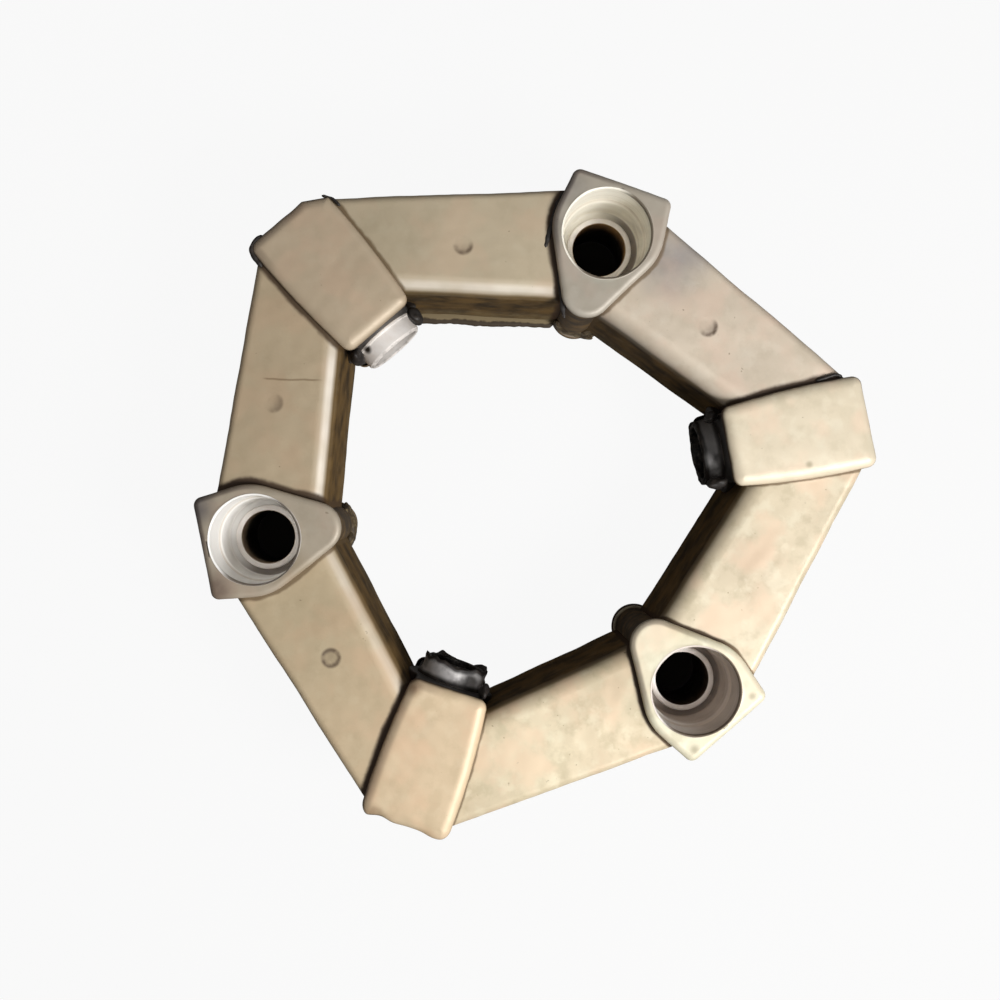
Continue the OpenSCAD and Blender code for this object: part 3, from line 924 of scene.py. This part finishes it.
# Seam dirt in painted shade on the shaded side, and a brown for the lit side's seam dirt that also
# darkens the feet of castings and legs
SEAM_SHADE_DARK = shade(60, 42, 26)
DIRT_BROWN_AND_LIT_SEAM = shade(104, 84, 56)
BARE = shade(255, 253, 249)
BARE_DARK = shade(198, 186, 168)
WALL = shade(106, 82, 46)
WALL_DARK = shade(56, 43, 25)
SPRAY = shade(128, 112, 82)
# Colour of the painted highlight along the legs' inner edge
CREST_HIGHLIGHT = shade(246, 240, 230)
RUBBER = shade(30, 25, 22)
RUBBER_WORN = shade(58, 50, 44)
GATE_RIM = shade(78, 60, 44)
SCRATCHED = shade(110, 88, 58)
PIT = shade(122, 112, 84)
# Bore colours: smudges kept to the walls in shade, painted shade in the floor's corner, and a line of
# painted shade under the mouth
SMUDGE_IN_SHADE = shade(120, 110, 100)
BORE_FLOOR_SHADE = shade(104, 92, 82)
BORE_LIP_SHADE = shade(84, 68, 48)
STEEL = (shade(228, 218, 208), shade(253, 249, 245))
STEEL_WORN = shade(96, 84, 72)
STEEL_PIT = shade(36, 30, 24)
STEEL_RUBBED = shade(212, 208, 206)
STEEL_FILMED = (shade(16, 14, 13), shade(92, 86, 80))
# Painted shade deep in a sleeve's bore
DEEP_BORE_SHADE = shade(24, 19, 14)

# Tones that a colour is multiplied by
PINK = (1.04, 0.97, 0.96)
DIM = (0.90, 0.90, 0.88)
PALE = (1.05, 1.09, 1.12)
PIN_HOLE = (0.4, 0.36, 0.3)
# Tones of the painted highlight on rounded edges that face the light and of the painted shade on those
# that face away
PAINTED_EDGE_HIGHLIGHT = (1.2, 1.25, 1.3)
SHADED_EDGE = (0.34, 0.30, 0.32)
# Tone of the painted shade low on a plate's side, by the seam
UNDER_EDGE_SHADE = (0.5, 0.46, 0.42)
WALL_TURN = (0.42, 0.36, 0.26)


def toned(colour, tone, strength=1.0):
    """A colour multiplied by a tone, of which strength is used."""
    return (*[c * (1 + (t - 1) * strength) for c, t in zip(colour, tone)], 1.0)


def disc(f, place, radius, soft, height):
    """Mask of a round mark, with a soft rim, at a place given in millimetres."""
    centre = (place[0] * MM, place[1] * MM, height * MM)
    reach = f.vector("DISTANCE", f.place, centre)
    return f.spread(reach, (radius - soft) * MM, (radius + soft) * MM, 1, 0)


def stained(f, colour, marks, height):
    """Multiplies a colour by the tones of broad soft stains, uneven at their edges; a few of
    them are painted shade.
    """
    for k, (place, radius, soft, tone) in enumerate(marks):
        uneven = f.spread(f.noise(0.9 * radius, 60 + k, 3, 0.6), 0.3, 0.6, 0.7, 1.0)
        mask = f.times(disc(f, place, radius, soft, height), uneven)
        values = {0: mask, 6: colour, 7: (*tone, 1)}
        colour = f.add("Mix", values, data_type="RGBA", blend_type="MULTIPLY").outputs[2]
    return colour


def gate_mark(f, colour, normal, place, dark, side, filled):
    """Dent with a dark rim left by a moulding gate. If a side is given, the rim and its filled
    inside are painted darkest on that side, as painted shade in the dent. Its inside is filled
    with a share of the rim's darkness."""
    inside = f.times(disc(f, place, GATE_R - 0.65, 0.6, LEG_TOP), 1 - filled)
    ring = f.math("SUBTRACT", disc(f, place, GATE_R + 0.55, 0.5, LEG_TOP), inside)
    ring = f.times(ring, f.spread(f.noise(1.8, 3, 2), 0.3, 0.6, 0.6, 1.0))
    # Painted shade: the dent's ring is darkest on the given side
    if side is not None:
        way = (math.cos(math.radians(side)), math.sin(math.radians(side)), 0)
        centre = (place[0] * MM, place[1] * MM, LEG_TOP * MM)
        facing = f.vector("DOT_PRODUCT", f.vector("SUBTRACT", f.place, centre), way)
        ring = f.times(ring, f.spread(facing, -0.001, 0.0018, 0.12, 1.0))
    colour = f.mix(f.times(ring, dark), colour, GATE_RIM)
    return colour, f.bump(disc(f, place, GATE_R, 0.9, LEG_TOP), -0.22, 0.4, normal)


def line_mark(f, colour, start, end, width, dark):
    """Thin scratch between two places in millimetres, which wanders a little and fades at
    both ends."""
    start, end = np.array(start) * MM, np.array(end) * MM
    length = np.linalg.norm(end - start)
    way = (end - start) / length
    offset = f.vector("SUBTRACT", f.place, (*start, 0))
    along = f.vector("DOT_PRODUCT", offset, (*way, 0))
    across = f.vector("DOT_PRODUCT", offset, (-way[1], way[0], 0))
    wander = f.spread(f.noise(8, 5, 2), 0.3, 0.7, -0.3 * MM, 0.3 * MM)
    across = f.math("ABSOLUTE", f.math("ADD", across, wander))
    within = f.times(f.spread(along, 0, 2 * MM), f.spread(along, length, length - 4 * MM))
    on = f.times(f.spread(across, 0.3 * width * MM, width * MM, 1, 0), within, dark)
    return f.mix(on, colour, SCRATCHED)


def champagne(f, colour, seed, mottle, patch_size):
    """Champagne coat: broad drift, blotches, pinkish patches and a few pin holes. Gives the
    colour, the blotches and a fine grain."""
    patch = f.noise(patch_size, seed + 3, 4, 0.62)
    grain = f.noise(0.5, seed + 5, 3, 0.6)
    drift = f.spread(f.noise(24, seed, 3), 0.35, 0.65)
    pale = f.spread(f.noise(0.7 * patch_size, seed + 4, 3), 0.50, 0.68, 0, mottle)
    pink = f.spread(f.noise(11, seed + 7, 3), 0.45, 0.64, 0, 0.3 + 0.7 * mottle)
    holes = f.spread(f.noise(1.5, seed + 30, 1), 0.77 - 0.03 * mottle, 0.81 - 0.03 * mottle, 0, 0.6)
    shown = f.mix(drift, toned(colour, DIM, 0.5), colour)
    shown = f.mix(f.spread(patch, 0.44, 0.66, 0, mottle), shown, toned(colour, DIM, 1.9))
    shown = f.mix(pale, shown, toned(colour, PALE))
    shown = f.mix(pink, shown, toned(colour, PINK, 1.4))
    return f.mix(holes, shown, toned(colour, PIN_HOLE)), patch, grain


def seam_dirt_and_shade(f, colour, seed, share=1.0):
    """Dirt along the seams with painted shade over it: wide and nearly black on their shaded
    side as painted shade, a brown thread on the lit one. It takes a share of its usual width.
    Gives the colour and where it lies."""
    shaded = f.paint("lee")
    slow, fast = 0.3 * share, 0.07 * share
    wander = f.math("ADD", f.spread(f.noise(7, seed + 20, 2), 0.3, 0.7, -slow, slow),
                    f.spread(f.noise(1.6, seed + 21, 2), 0.3, 0.7, -fast, fast))
    width = f.spread(shaded, 0.2, 0.75, 1.2 * share, 2.1 * share)
    across = f.math("DIVIDE", f.math("ADD", f.paint("seam"), wander), width)
    band = f.times(f.spread(across, 0.55, 1.25, 1.0, 0.0), f.spread(shaded, 0.05, 0.6, 0.80, 0.97))
    # Dirt in the seams, nearly black on the shaded side as painted shade
    dirt = f.mix(f.spread(shaded, 0.3, 0.75), DIRT_BROWN_AND_LIT_SEAM, SEAM_SHADE_DARK)
    return f.mix(band, colour, dirt), band


def turned_bore(f, seed, tone, glint):
    """Turned metal down a bore: fine rings, smudges painted only on the walls in shade, so dirt
    and painted shade, painted shade in the corner at its floor, strongest where the floor is in
    shade, a step half way, and a dark brown line of painted shade under the mouth on the walls
    that face away from the light. A glint is a painted highlight, a paler patch on it, given
    as place, radius and strength. Gives the colour and the rings."""
    shaded = f.paint("lee")
    bore = f.paint("bore")
    depth = f.add("CombineXYZ", {0: f.times(bore, BORE_DEPTH * MM)}).outputs[0]
    rings = f.noise(0.9, seed + 11, 3, 0.6, depth)
    metal = f.mix(f.spread(rings, 0.4, 0.7, 0, 0.3), toned(BARE, tone), toned(BARE_DARK, tone))
    # Smudges painted only on the walls in shade: dirt and painted shade
    smudge = f.spread(f.noise(7, seed + 16, 3, 0.6), 0.4, 0.75, 0, 0.35)
    metal = f.mix(f.times(smudge, f.spread(shaded, 0.6, 0.2)), metal, SMUDGE_IN_SHADE)
    # A glint: a painted highlight on the bore wall
    if glint:
        place, radius, strength = glint
        paler = disc(f, place, radius, 0.6 * radius, RING_H - 0.7 * STEP_DEPTH)
        metal = f.mix(f.times(paler, strength), metal, BARE)
    # Painted shade in the corner at the bore's floor, strongest on the side in shade
    corner = f.times(f.spread(bore, 0.975, 0.995), f.spread(shaded, 0.35, 0.8, 0.92, 0.25))
    metal = f.mix(corner, metal, BORE_FLOOR_SHADE)
    half_way = STEP_DEPTH / BORE_DEPTH
    step = f.times(f.spread(bore, half_way - 0.013, half_way),
                   f.spread(bore, half_way + 0.025, half_way + 0.008), 0.6)
    metal = f.mix(step, metal, BARE_DARK)
    # Line of painted shade just under the mouth, on the walls that face away from the light
    lip = f.times(f.spread(bore, 0.006, 0.016), f.spread(bore, 0.075, 0.045),
                  f.spread(shaded, 0.45, 0.7, 0.9, 0.0))
    return f.mix(lip, metal, BORE_LIP_SHADE), rings


def coat(name, seed, colour, mottle, shadow, bore_tone, pits, stains, skinned=False, glint=None):
    """Coat over a casting: a painted highlight on the rounded edges that face the light, and
    painted shade of strength shadow on those on the shaded side, painted shade low on the
    plates' sides, dirt with painted shade in the seams, pits, stains, some of which are painted
    shade, and turned bores, and a little darker towards the floor. Towards the inside of the
    ring the casting is painted dark below its upper plate: mottled brown, or black where
    rubber skins it."""
    f = Finish(name)
    shown, patch, grain = champagne(f, colour, seed, mottle, 7)
    shaded = f.paint("lee")
    edge = f.paint("wear")
    # Painted highlight on the rounded edges that face the light, and painted shade on those that face
    # away
    lit = f.times(f.spread(edge, 0.3, 1.0, 0, 0.3), f.spread(shaded, 0.7, 0.4))
    shown = f.mix(lit, shown, toned(colour, PAINTED_EDGE_HIGHLIGHT))
    dull = f.times(f.spread(edge, 0.1, 0.8), f.spread(shaded, 0.62, 0.95, 0, shadow))
    shown = f.mix(dull, shown, toned(colour, SHADED_EDGE))
    # Painted shade low on a plate's side, next to the seam
    under = f.spread(f.paint("seam"), 2.4, 1.4, 0, 0.45)
    shown = f.mix(under, shown, toned(colour, UNDER_EDGE_SHADE))
    for place, radius in pits:
        pit = disc(f, place, radius, 0.8 * radius, RING_H)
        shown = f.mix(f.times(pit, 0.55), shown, PIT)
    shown = stained(f, shown, stains, RING_H)
    height = f.height()
    blotch = f.noise(6, seed + 12, 4, 0.6)
    low = f.spread(height, LEG_TOP - 0.2, LEG_TOP - 1.3)
    if skinned:
        under = f.mix(f.spread(blotch, 0.4, 0.7), RUBBER, RUBBER_WORN)
    else:
        under = f.mix(f.spread(blotch, 0.35, 0.65), WALL_DARK, WALL)
        foot = f.times(f.spread(height, 6, 3.2), blotch)
        low = f.times(low, f.spread(foot, 0.2, 0.6, 1.0, 0.35))
    reach = f.vector("LENGTH", f.place)
    inside = f.math("ADD", f.spread(reach, INSIDE_R[1] * MM, INSIDE_R[0] * MM),
                    f.spread(blotch, 0.3, 0.7, -0.2, 0.2))
    low = f.times(low, f.spread(inside, 0.3, 0.7))
    foot = f.times(f.spread(height, 16, 2), f.spread(blotch, 0.4, 0.6, 0, 0.35))
    shown = f.mix(foot, shown, DIRT_BROWN_AND_LIT_SEAM)
    shown = f.mix(low, shown, under)
    shown, band = seam_dirt_and_shade(f, shown, seed)
    in_bore = f.spread(f.paint("bore"), 0.004, 0.012)
    metal, rings = turned_bore(f, seed, bore_tone, glint)
    shown = f.mix(in_bore, shown, metal)
    rough = f.math("MAXIMUM", f.spread(grain, 0.3, 0.7, 0.46, 0.54), f.times(band, 0.8))
    rough = f.math("MAXIMUM", rough, f.times(low, 0.55 if skinned else 0.75))
    normal = f.bump(grain, 0.03, 0.5)
    normal = f.bump(patch, 0.08, 0.3, normal)
    normal = f.bump(f.times(rings, in_bore), 0.12, 0.6, normal)
    metallic = f.spread(in_bore, 0, 1, 0.12, 0.5 if skinned else 0.08)
    return f.done(base_color=shown, metallic=metallic, roughness=rough, normal=normal)


def rubber_coat(name, seed, colour, mottle, spray, seam_band_share, crest_highlight, gate, scratch, stains):
    """The coat on rubber: gone from the inner wall, where the brown rubber shows, with some
    stray spray low on it. The seam share given is the width of the dirt and painted shade at
    the seams, and the crest is a painted highlight along the inner edge, of the given strength.
    The upper face carries a gate mark and, on one leg, a scratch."""
    f = Finish(name)
    shown, patch, grain = champagne(f, colour, seed, mottle, 6)
    shown = stained(f, shown, stains, LEG_TOP)
    # Painted highlight along the inner edge
    if crest_highlight:
        rubbed = f.spread(f.noise(14, seed + 9, 2), 0.35, 0.65, 0.5 * crest_highlight, crest_highlight)
        shown = f.mix(f.times(f.paint("wear"), rubbed), shown, CREST_HIGHLIGHT)
    wall = f.paint("wall")
    height = f.height()
    under = f.mix(f.spread(f.noise(9, seed + 12, 3, 0.5), 0.3, 0.7), WALL, WALL_DARK)
    streaks = f.noise(4, seed + 14, 3, 0.6)
    foot = f.times(f.paint("soot"), f.spread(streaks, 0.35, 0.6, 0.1, 0.55))
    shown = f.mix(foot, shown, DIRT_BROWN_AND_LIT_SEAM)
    sprayed = f.times(f.spread(height, 4, 9), f.spread(height, 24, 15))
    sprayed = f.times(sprayed, f.spread(streaks, 0.35, 0.6, 0.2 * spray, spray))
    under = f.mix(sprayed, under, SPRAY)
    turn = f.times(f.spread(wall, 0.02, 0.5), f.spread(wall, 0.98, 0.6, 0.3, 1.0))
    shown = f.mix(turn, shown, toned(colour, WALL_TURN))
    shown = f.mix(f.times(wall, f.spread(streaks, 0.2, 0.5, 0.88, 1.0)), shown, under)
    shown, band = seam_dirt_and_shade(f, shown, seed, seam_band_share)
    dull = f.times(f.math("MAXIMUM", band, wall), 0.8)
    rough = f.math("MAXIMUM", f.spread(grain, 0.3, 0.7, 0.44, 0.52), dull)
    normal = f.bump(grain, 0.025, 0.4)
    normal = f.bump(patch, 0.08, 0.3, normal)
    if gate:
        shown, normal = gate_mark(f, shown, normal, *gate)
    if scratch:
        shown = line_mark(f, shown, *scratch, 0.45, 0.6)
    return f.done(base_color=shown, metallic=f.spread(wall, 0, 1, 0.12, 0.0), roughness=rough,
                  normal=normal, specular_ior_level=f.spread(wall, 0, 1, 0.5, 0.12))


def raw_rubber(name, seed, rubbed=0.0, dark=RUBBER, light=RUBBER_WORN):
    """Bare moulding rubber. Where it is rubbed through, grey steel shows."""
    f = Finish(name)
    worn = f.noise(2.5, seed, 4, 0.65)
    colour = f.mix(f.spread(worn, 0.45, 0.75), dark, light)
    through = f.spread(f.noise(5, seed + 4, 3), 0.3, 0.55, 0.35 * rubbed, rubbed)
    through = f.times(f.paint("soot"), through)
    colour = f.mix(through, colour, STEEL_RUBBED)
    return f.done(base_color=colour, roughness=f.spread(worn, 0.3, 0.7, 0.72, 0.5),
                  metallic=f.times(through, 0.4), normal=f.bump(f.noise(0.9, seed + 2, 3), 0.08, 0.5))


def flash_rubber(name, seed):
    """Thin flash at a leg's foot: the colour of coat spray near the wall, where it is also
    painted light, and dark along its torn edge as painted shade.
    """
    f = Finish(name)
    worn = f.noise(4, seed, 3, 0.6)
    # Pale near the wall as painted light, dark further out as painted shade
    painted_light_to_shade = f.math("ADD", f.paint("wall"), f.spread(worn, 0.3, 0.7, -0.15, 0.15))
    colour = f.mix(f.spread(painted_light_to_shade, 0.2, 0.45), SPRAY, WALL_DARK)
    return f.done(base_color=colour, roughness=0.7, normal=f.bump(worn, 0.1, 0.4))


def bright_steel(name, seed, glow, pit=None):
    """Turned bare steel with a darker worn end. The upper end of its bore is painted with the
    colour glow as painted light, which turns to painted shade further down."""
    f = Finish(name)
    streak = f.noise(2.5, seed, 4, 0.6)
    soot = f.paint("soot")
    colour = f.mix(streak, *STEEL)
    if pit:
        colour = f.mix(disc(f, *pit), colour, STEEL_PIT)
    worn = f.times(f.paint("wear"), f.spread(streak, 0.4, 0.75, 0.0, 0.6))
    colour = f.mix(worn, colour, STEEL_WORN)
    # Painted light at the top of the bore, turning to painted shade deeper down
    deep = f.mix(f.spread(f.height(), 29, 17), glow, DEEP_BORE_SHADE)
    colour = f.mix(soot, colour, deep)
    rough = f.spread(streak, 0.3, 0.7, 0.36, 0.5)
    return f.done(base_color=colour, metallic=f.spread(soot, 0, 1, 0.12, 0.0), roughness=rough,
                  normal=f.bump(f.noise(0.6, seed + 2), 0.02, 0.4))


def filmed_steel(name, seed):
    """Steel under a thin black rubber film, with soft grey streaks."""
    f = Finish(name)
    streak = f.noise(2.0, seed, 4, 0.65)
    colour = f.mix(f.spread(streak, 0.4, 0.75), *STEEL_FILMED)
    return f.done(base_color=colour, metallic=0.4, roughness=f.spread(streak, 0.3, 0.7, 0.5, 0.32),
                  normal=f.bump(f.noise(1.2, seed + 2, 3), 0.1, 0.5))


def add_camera():
    """Camera fitted to the photograph: turned about the ring axis, then slightly tilted."""
    turn = Matrix.Rotation(VIEW_TURN, 3, "Z")
    tilt = Matrix.Rotation(VIEW_TILT.length, 3, VIEW_TILT.normalized())
    camera = bpy.data.objects.new("camera", bpy.data.cameras.new("camera"))
    camera.data.lens = VIEW_LENS
    camera.data.clip_start = 0.01
    camera.matrix_world = Matrix.Translation(Vector(VIEW_FROM) * MM) @ (tilt @ turn).transposed().to_4x4()
    show(camera)
    bpy.context.scene.camera = camera


# Lamps: place and size in metres, and power in watts. Both face one point of the ring's axis
LAMPS = {"key": ((0.235, -0.26, 0.44), 0.18, 3.4),
         "top": ((-0.02, -0.03, 0.65), 0.15, 0.22)}
LAMP_TARGET = Vector((0, 0, 0.03))


def add_lamp(name, place, size, power):
    """Square area lamp that faces the target."""
    lamp = bpy.data.objects.new(name, bpy.data.lights.new(name, "AREA"))
    lamp.data.size = size
    lamp.data.energy = power
    lamp.location = place
    lamp.rotation_euler = (Vector(place) - LAMP_TARGET).to_track_quat("Z", "Y").to_euler()
    show(lamp)


# Half the floor's width and its height, both in metres, its colours, and how much of it the
# camera sees as plain white
FLOOR_HALF = 1.5
FLOOR_Z = -0.0001
FLOOR_GREY = (0.30, 0.295, 0.285, 1)
# Painted shade where the floor is seen down the axial bolt holes
FLOOR_HOLE_SHADE = shade(30, 26, 22)
FLOOR_LIFT = 0.93


def add_stage():
    """Pale floor that looks nearly white and keeps the ring's shadow. It is painted dark, as
    painted shade, only where it is seen down the axial bolt holes."""
    mesh = bpy.data.meshes.new("floor")
    corners = [(FLOOR_HALF * x, FLOOR_HALF * y, 0) for x, y in ((-1, -1), (1, -1), (1, 1), (-1, 1))]
    mesh.from_pydata(corners, [], [(0, 1, 2, 3)])
    floor = bpy.data.objects.new("floor", mesh)
    floor.location.z = FLOOR_Z
    show(floor)
    f = Finish("pale_floor")
    # Mask of the painted shade down the bolt holes
    beside = 1.0
    for place in AXIAL_PLACES:
        angle = PLACE_STEP * place
        centre = (BOLT_U * MM * math.cos(angle), BOLT_U * MM * math.sin(angle), 0)
        reach = f.vector("DISTANCE", f.place, centre)
        beside = f.math("MINIMUM", beside, f.spread(reach, BOLT_R * MM, (BOLT_R + 1) * MM))
    f.done(base_color=f.mix(beside, FLOOR_HOLE_SHADE, FLOOR_GREY), roughness=0.9, specular_ior_level=0.1)
    white = f.add("Emission", {"Color": (1, 1, 1, 1)}).outputs[0]
    seen = f.add("LightPath").outputs["Is Camera Ray"]
    lift = f.times(seen, FLOOR_LIFT, beside)
    blend = f.add("MixShader", {0: lift, 1: f.shader.outputs[0], 2: white}).outputs[0]
    f.give(f.surface, blend)
    mesh.materials.append(f.material)


# The world's light: its colour, and its strength at the horizon and overhead
WORLD_COLOUR = (1.0, 0.98, 0.96, 1)
WORLD_LEVEL = 0.09
WORLD_TOP = 0.26


def add_world():
    """Even light from above that fades towards the horizon."""
    world = bpy.data.worlds.new("studio")
    world.use_nodes = True
    nodes, links = world.node_tree.nodes, world.node_tree.links
    background = nodes["Background"]
    background.inputs["Color"].default_value = WORLD_COLOUR
    up = nodes.new("ShaderNodeSeparateXYZ")
    fade = nodes.new("ShaderNodeMapRange")
    fade.inputs["To Min"].default_value = WORLD_LEVEL
    fade.inputs["To Max"].default_value = WORLD_TOP
    links.new(nodes.new("ShaderNodeTexCoord").outputs["Generated"], up.inputs[0])
    links.new(up.outputs["Z"], fade.inputs["Value"])
    links.new(fade.outputs["Result"], background.inputs["Strength"])
    bpy.context.scene.world = world


add_camera()
add_world()
for name, lamp in LAMPS.items():
    add_lamp(name, *lamp)
add_stage()
bpy.context.scene.view_settings.view_transform = "Standard"

# Axial bushes in turn: colour of the coat, strength of its mottle, tone of the bore, and
# colour at the upper end of the steel sleeve's own bore, which is painted light and shade.
# The coat is lighter on axial bush 3, nearest the key lamp, as painted light over the coat's
# own tone; its bore tone and sleeve colour are darker, as painted shade on walls that face
# away from the lamp
AXIAL_LOOKS = ((shade(169, 160, 146), 0.4, (1.0, 0.98, 0.90), shade(150, 118, 82)),
               (shade(165, 153, 135), 0.4, (1.0, 1.0, 1.0), shade(170, 150, 128)),
               (shade(204, 196, 171), 0.9, (0.62, 0.56, 0.52), shade(56, 44, 32)))
AXIAL_SHADOW = 0.6
# Painted highlight on the bore of axial bush 3: place, radius and strength
BORE_GLINTS = {3: ((31.0, -80.5), 9.0, 0.95)}

# Radial bushes in turn: colour of the coat, strength of its mottle, and how dark the rounded
# edges on the shaded side are. The coat is darkest on radial bush 2, furthest from the key
# lamp, partly as painted shade over the coat's own tone
RADIAL_LOOKS = ((shade(207, 194, 170), 0.55, 0.0),
                (shade(184, 166, 141), 0.3, 0.35),
                (shade(205, 183, 151), 0.5, 0.35))
RECESS_TONE = (0.50, 0.46, 0.41)

# The bright sleeve of radial bush 2: colour in its bore, which is painted shade, and its pit
# as place, radius, softness and height. The rubber skins on the other two: how ragged and how
# rubbed through
RADIAL_GLOW = shade(62, 52, 44)
SLEEVE_PIT = ((-38.2, 53.5), 1.8, 0.6, 35.0)
SKINS = {1: (0.25, 0.4), 3: (1.0, 1.0)}

# Legs in turn: colour of the coat, strength of its mottle, of the spray low on the inner wall,
# of the dirt and painted shade at the seams, and of the painted highlight along the inner edge.
# The coats are darker on the legs away from the key lamp and lighter on those near it, partly
# as painted light and shade over the coat's own tone
LEG_LOOKS = ((shade(198, 184, 165), 0.5, 0.25, 1.0, 0.0),
             (shade(187, 172, 146), 0.3, 0.55, 1.0, 0.5),
             (shade(177, 159, 131), 0.25, 0.25, 1.0, 0.6),
             (shade(190, 170, 139), 0.4, 0.25, 1.0, 0.4),
             (shade(202, 186, 157), 0.9, 0.25, 0.62, 0.0),
             (shade(199, 185, 159), 0.9, 0.25, 0.62, 0.0))

for i, (place, looks) in enumerate(zip(AXIAL_PLACES, AXIAL_LOOKS), 1):
    colour, mottle, bore_tone, glow = looks
    finish = coat(f"cast_coat_axial_{i}", 3.1 * i, colour, mottle, AXIAL_SHADOW, bore_tone,
                  AXIAL_PITS.get(i, ()), AXIAL_STAINS_AND_SHADE[i], glint=BORE_GLINTS.get(i))
    axial_bush(i, place, finish)
    axial_sleeve(i, place, bright_steel(f"bare_steel_axial_{i}", 1.7 * i, glow))

for i, (place, looks) in enumerate(zip(RADIAL_PLACES, RADIAL_LOOKS), 1):
    finish = coat(f"cast_coat_radial_{i}", 5.3 * i, *looks, RECESS_TONE,
                  RADIAL_PITS.get(i, ()), RADIAL_STAINS.get(i, ()), True)
    radial_bush(i, place, finish)
    if i in SKINS:
        ragged, rubbed = SKINS[i]
        radial_sleeve(i, place, filmed_steel(f"dark_steel_{i}", 2.2 * i))
        make_piece(f"rubber_skin_{i}", [skin(place, 20 + i, ragged)],
                   raw_rubber(f"black_rubber_skin_{i}", i, rubbed))
    else:
        finish = bright_steel("bare_steel_radial", 4.4, RADIAL_GLOW, SLEEVE_PIT)
        radial_sleeve(i, place, finish)

for i, looks in enumerate(LEG_LOOKS, 1):
    place, flip = (i - 1, False) if i % 2 else (i, True)
    finish = rubber_coat(f"coated_rubber_{i}", 7.7 * i, *looks, GATES.get(i), SCRATCH.get(i),
                         LEG_STAINS.get(i, ()))
    leg(i, place, flip, finish)

make_piece("leg_2_flash", [fin(2, True, 5)], flash_rubber("flash_rubber", 3.3))
make_piece("rubber_lumps", [lump(*values, 30 + k) for k, values in enumerate(LUMPS)],
           raw_rubber("black_rubber_lumps", 8.8))
make_piece("tip_lumps", [lump(*values, 40 + k) for k, values in enumerate(TIP_LUMPS)],
           raw_rubber("brown_rubber_lumps", 6.6, 0.0, WALL_DARK, SPRAY))
make_piece("rubber_ridges", [ridge(*values, 50 + k) for k, values in enumerate(RIDGES)],
           raw_rubber("black_rubber_ridges", 9.9))
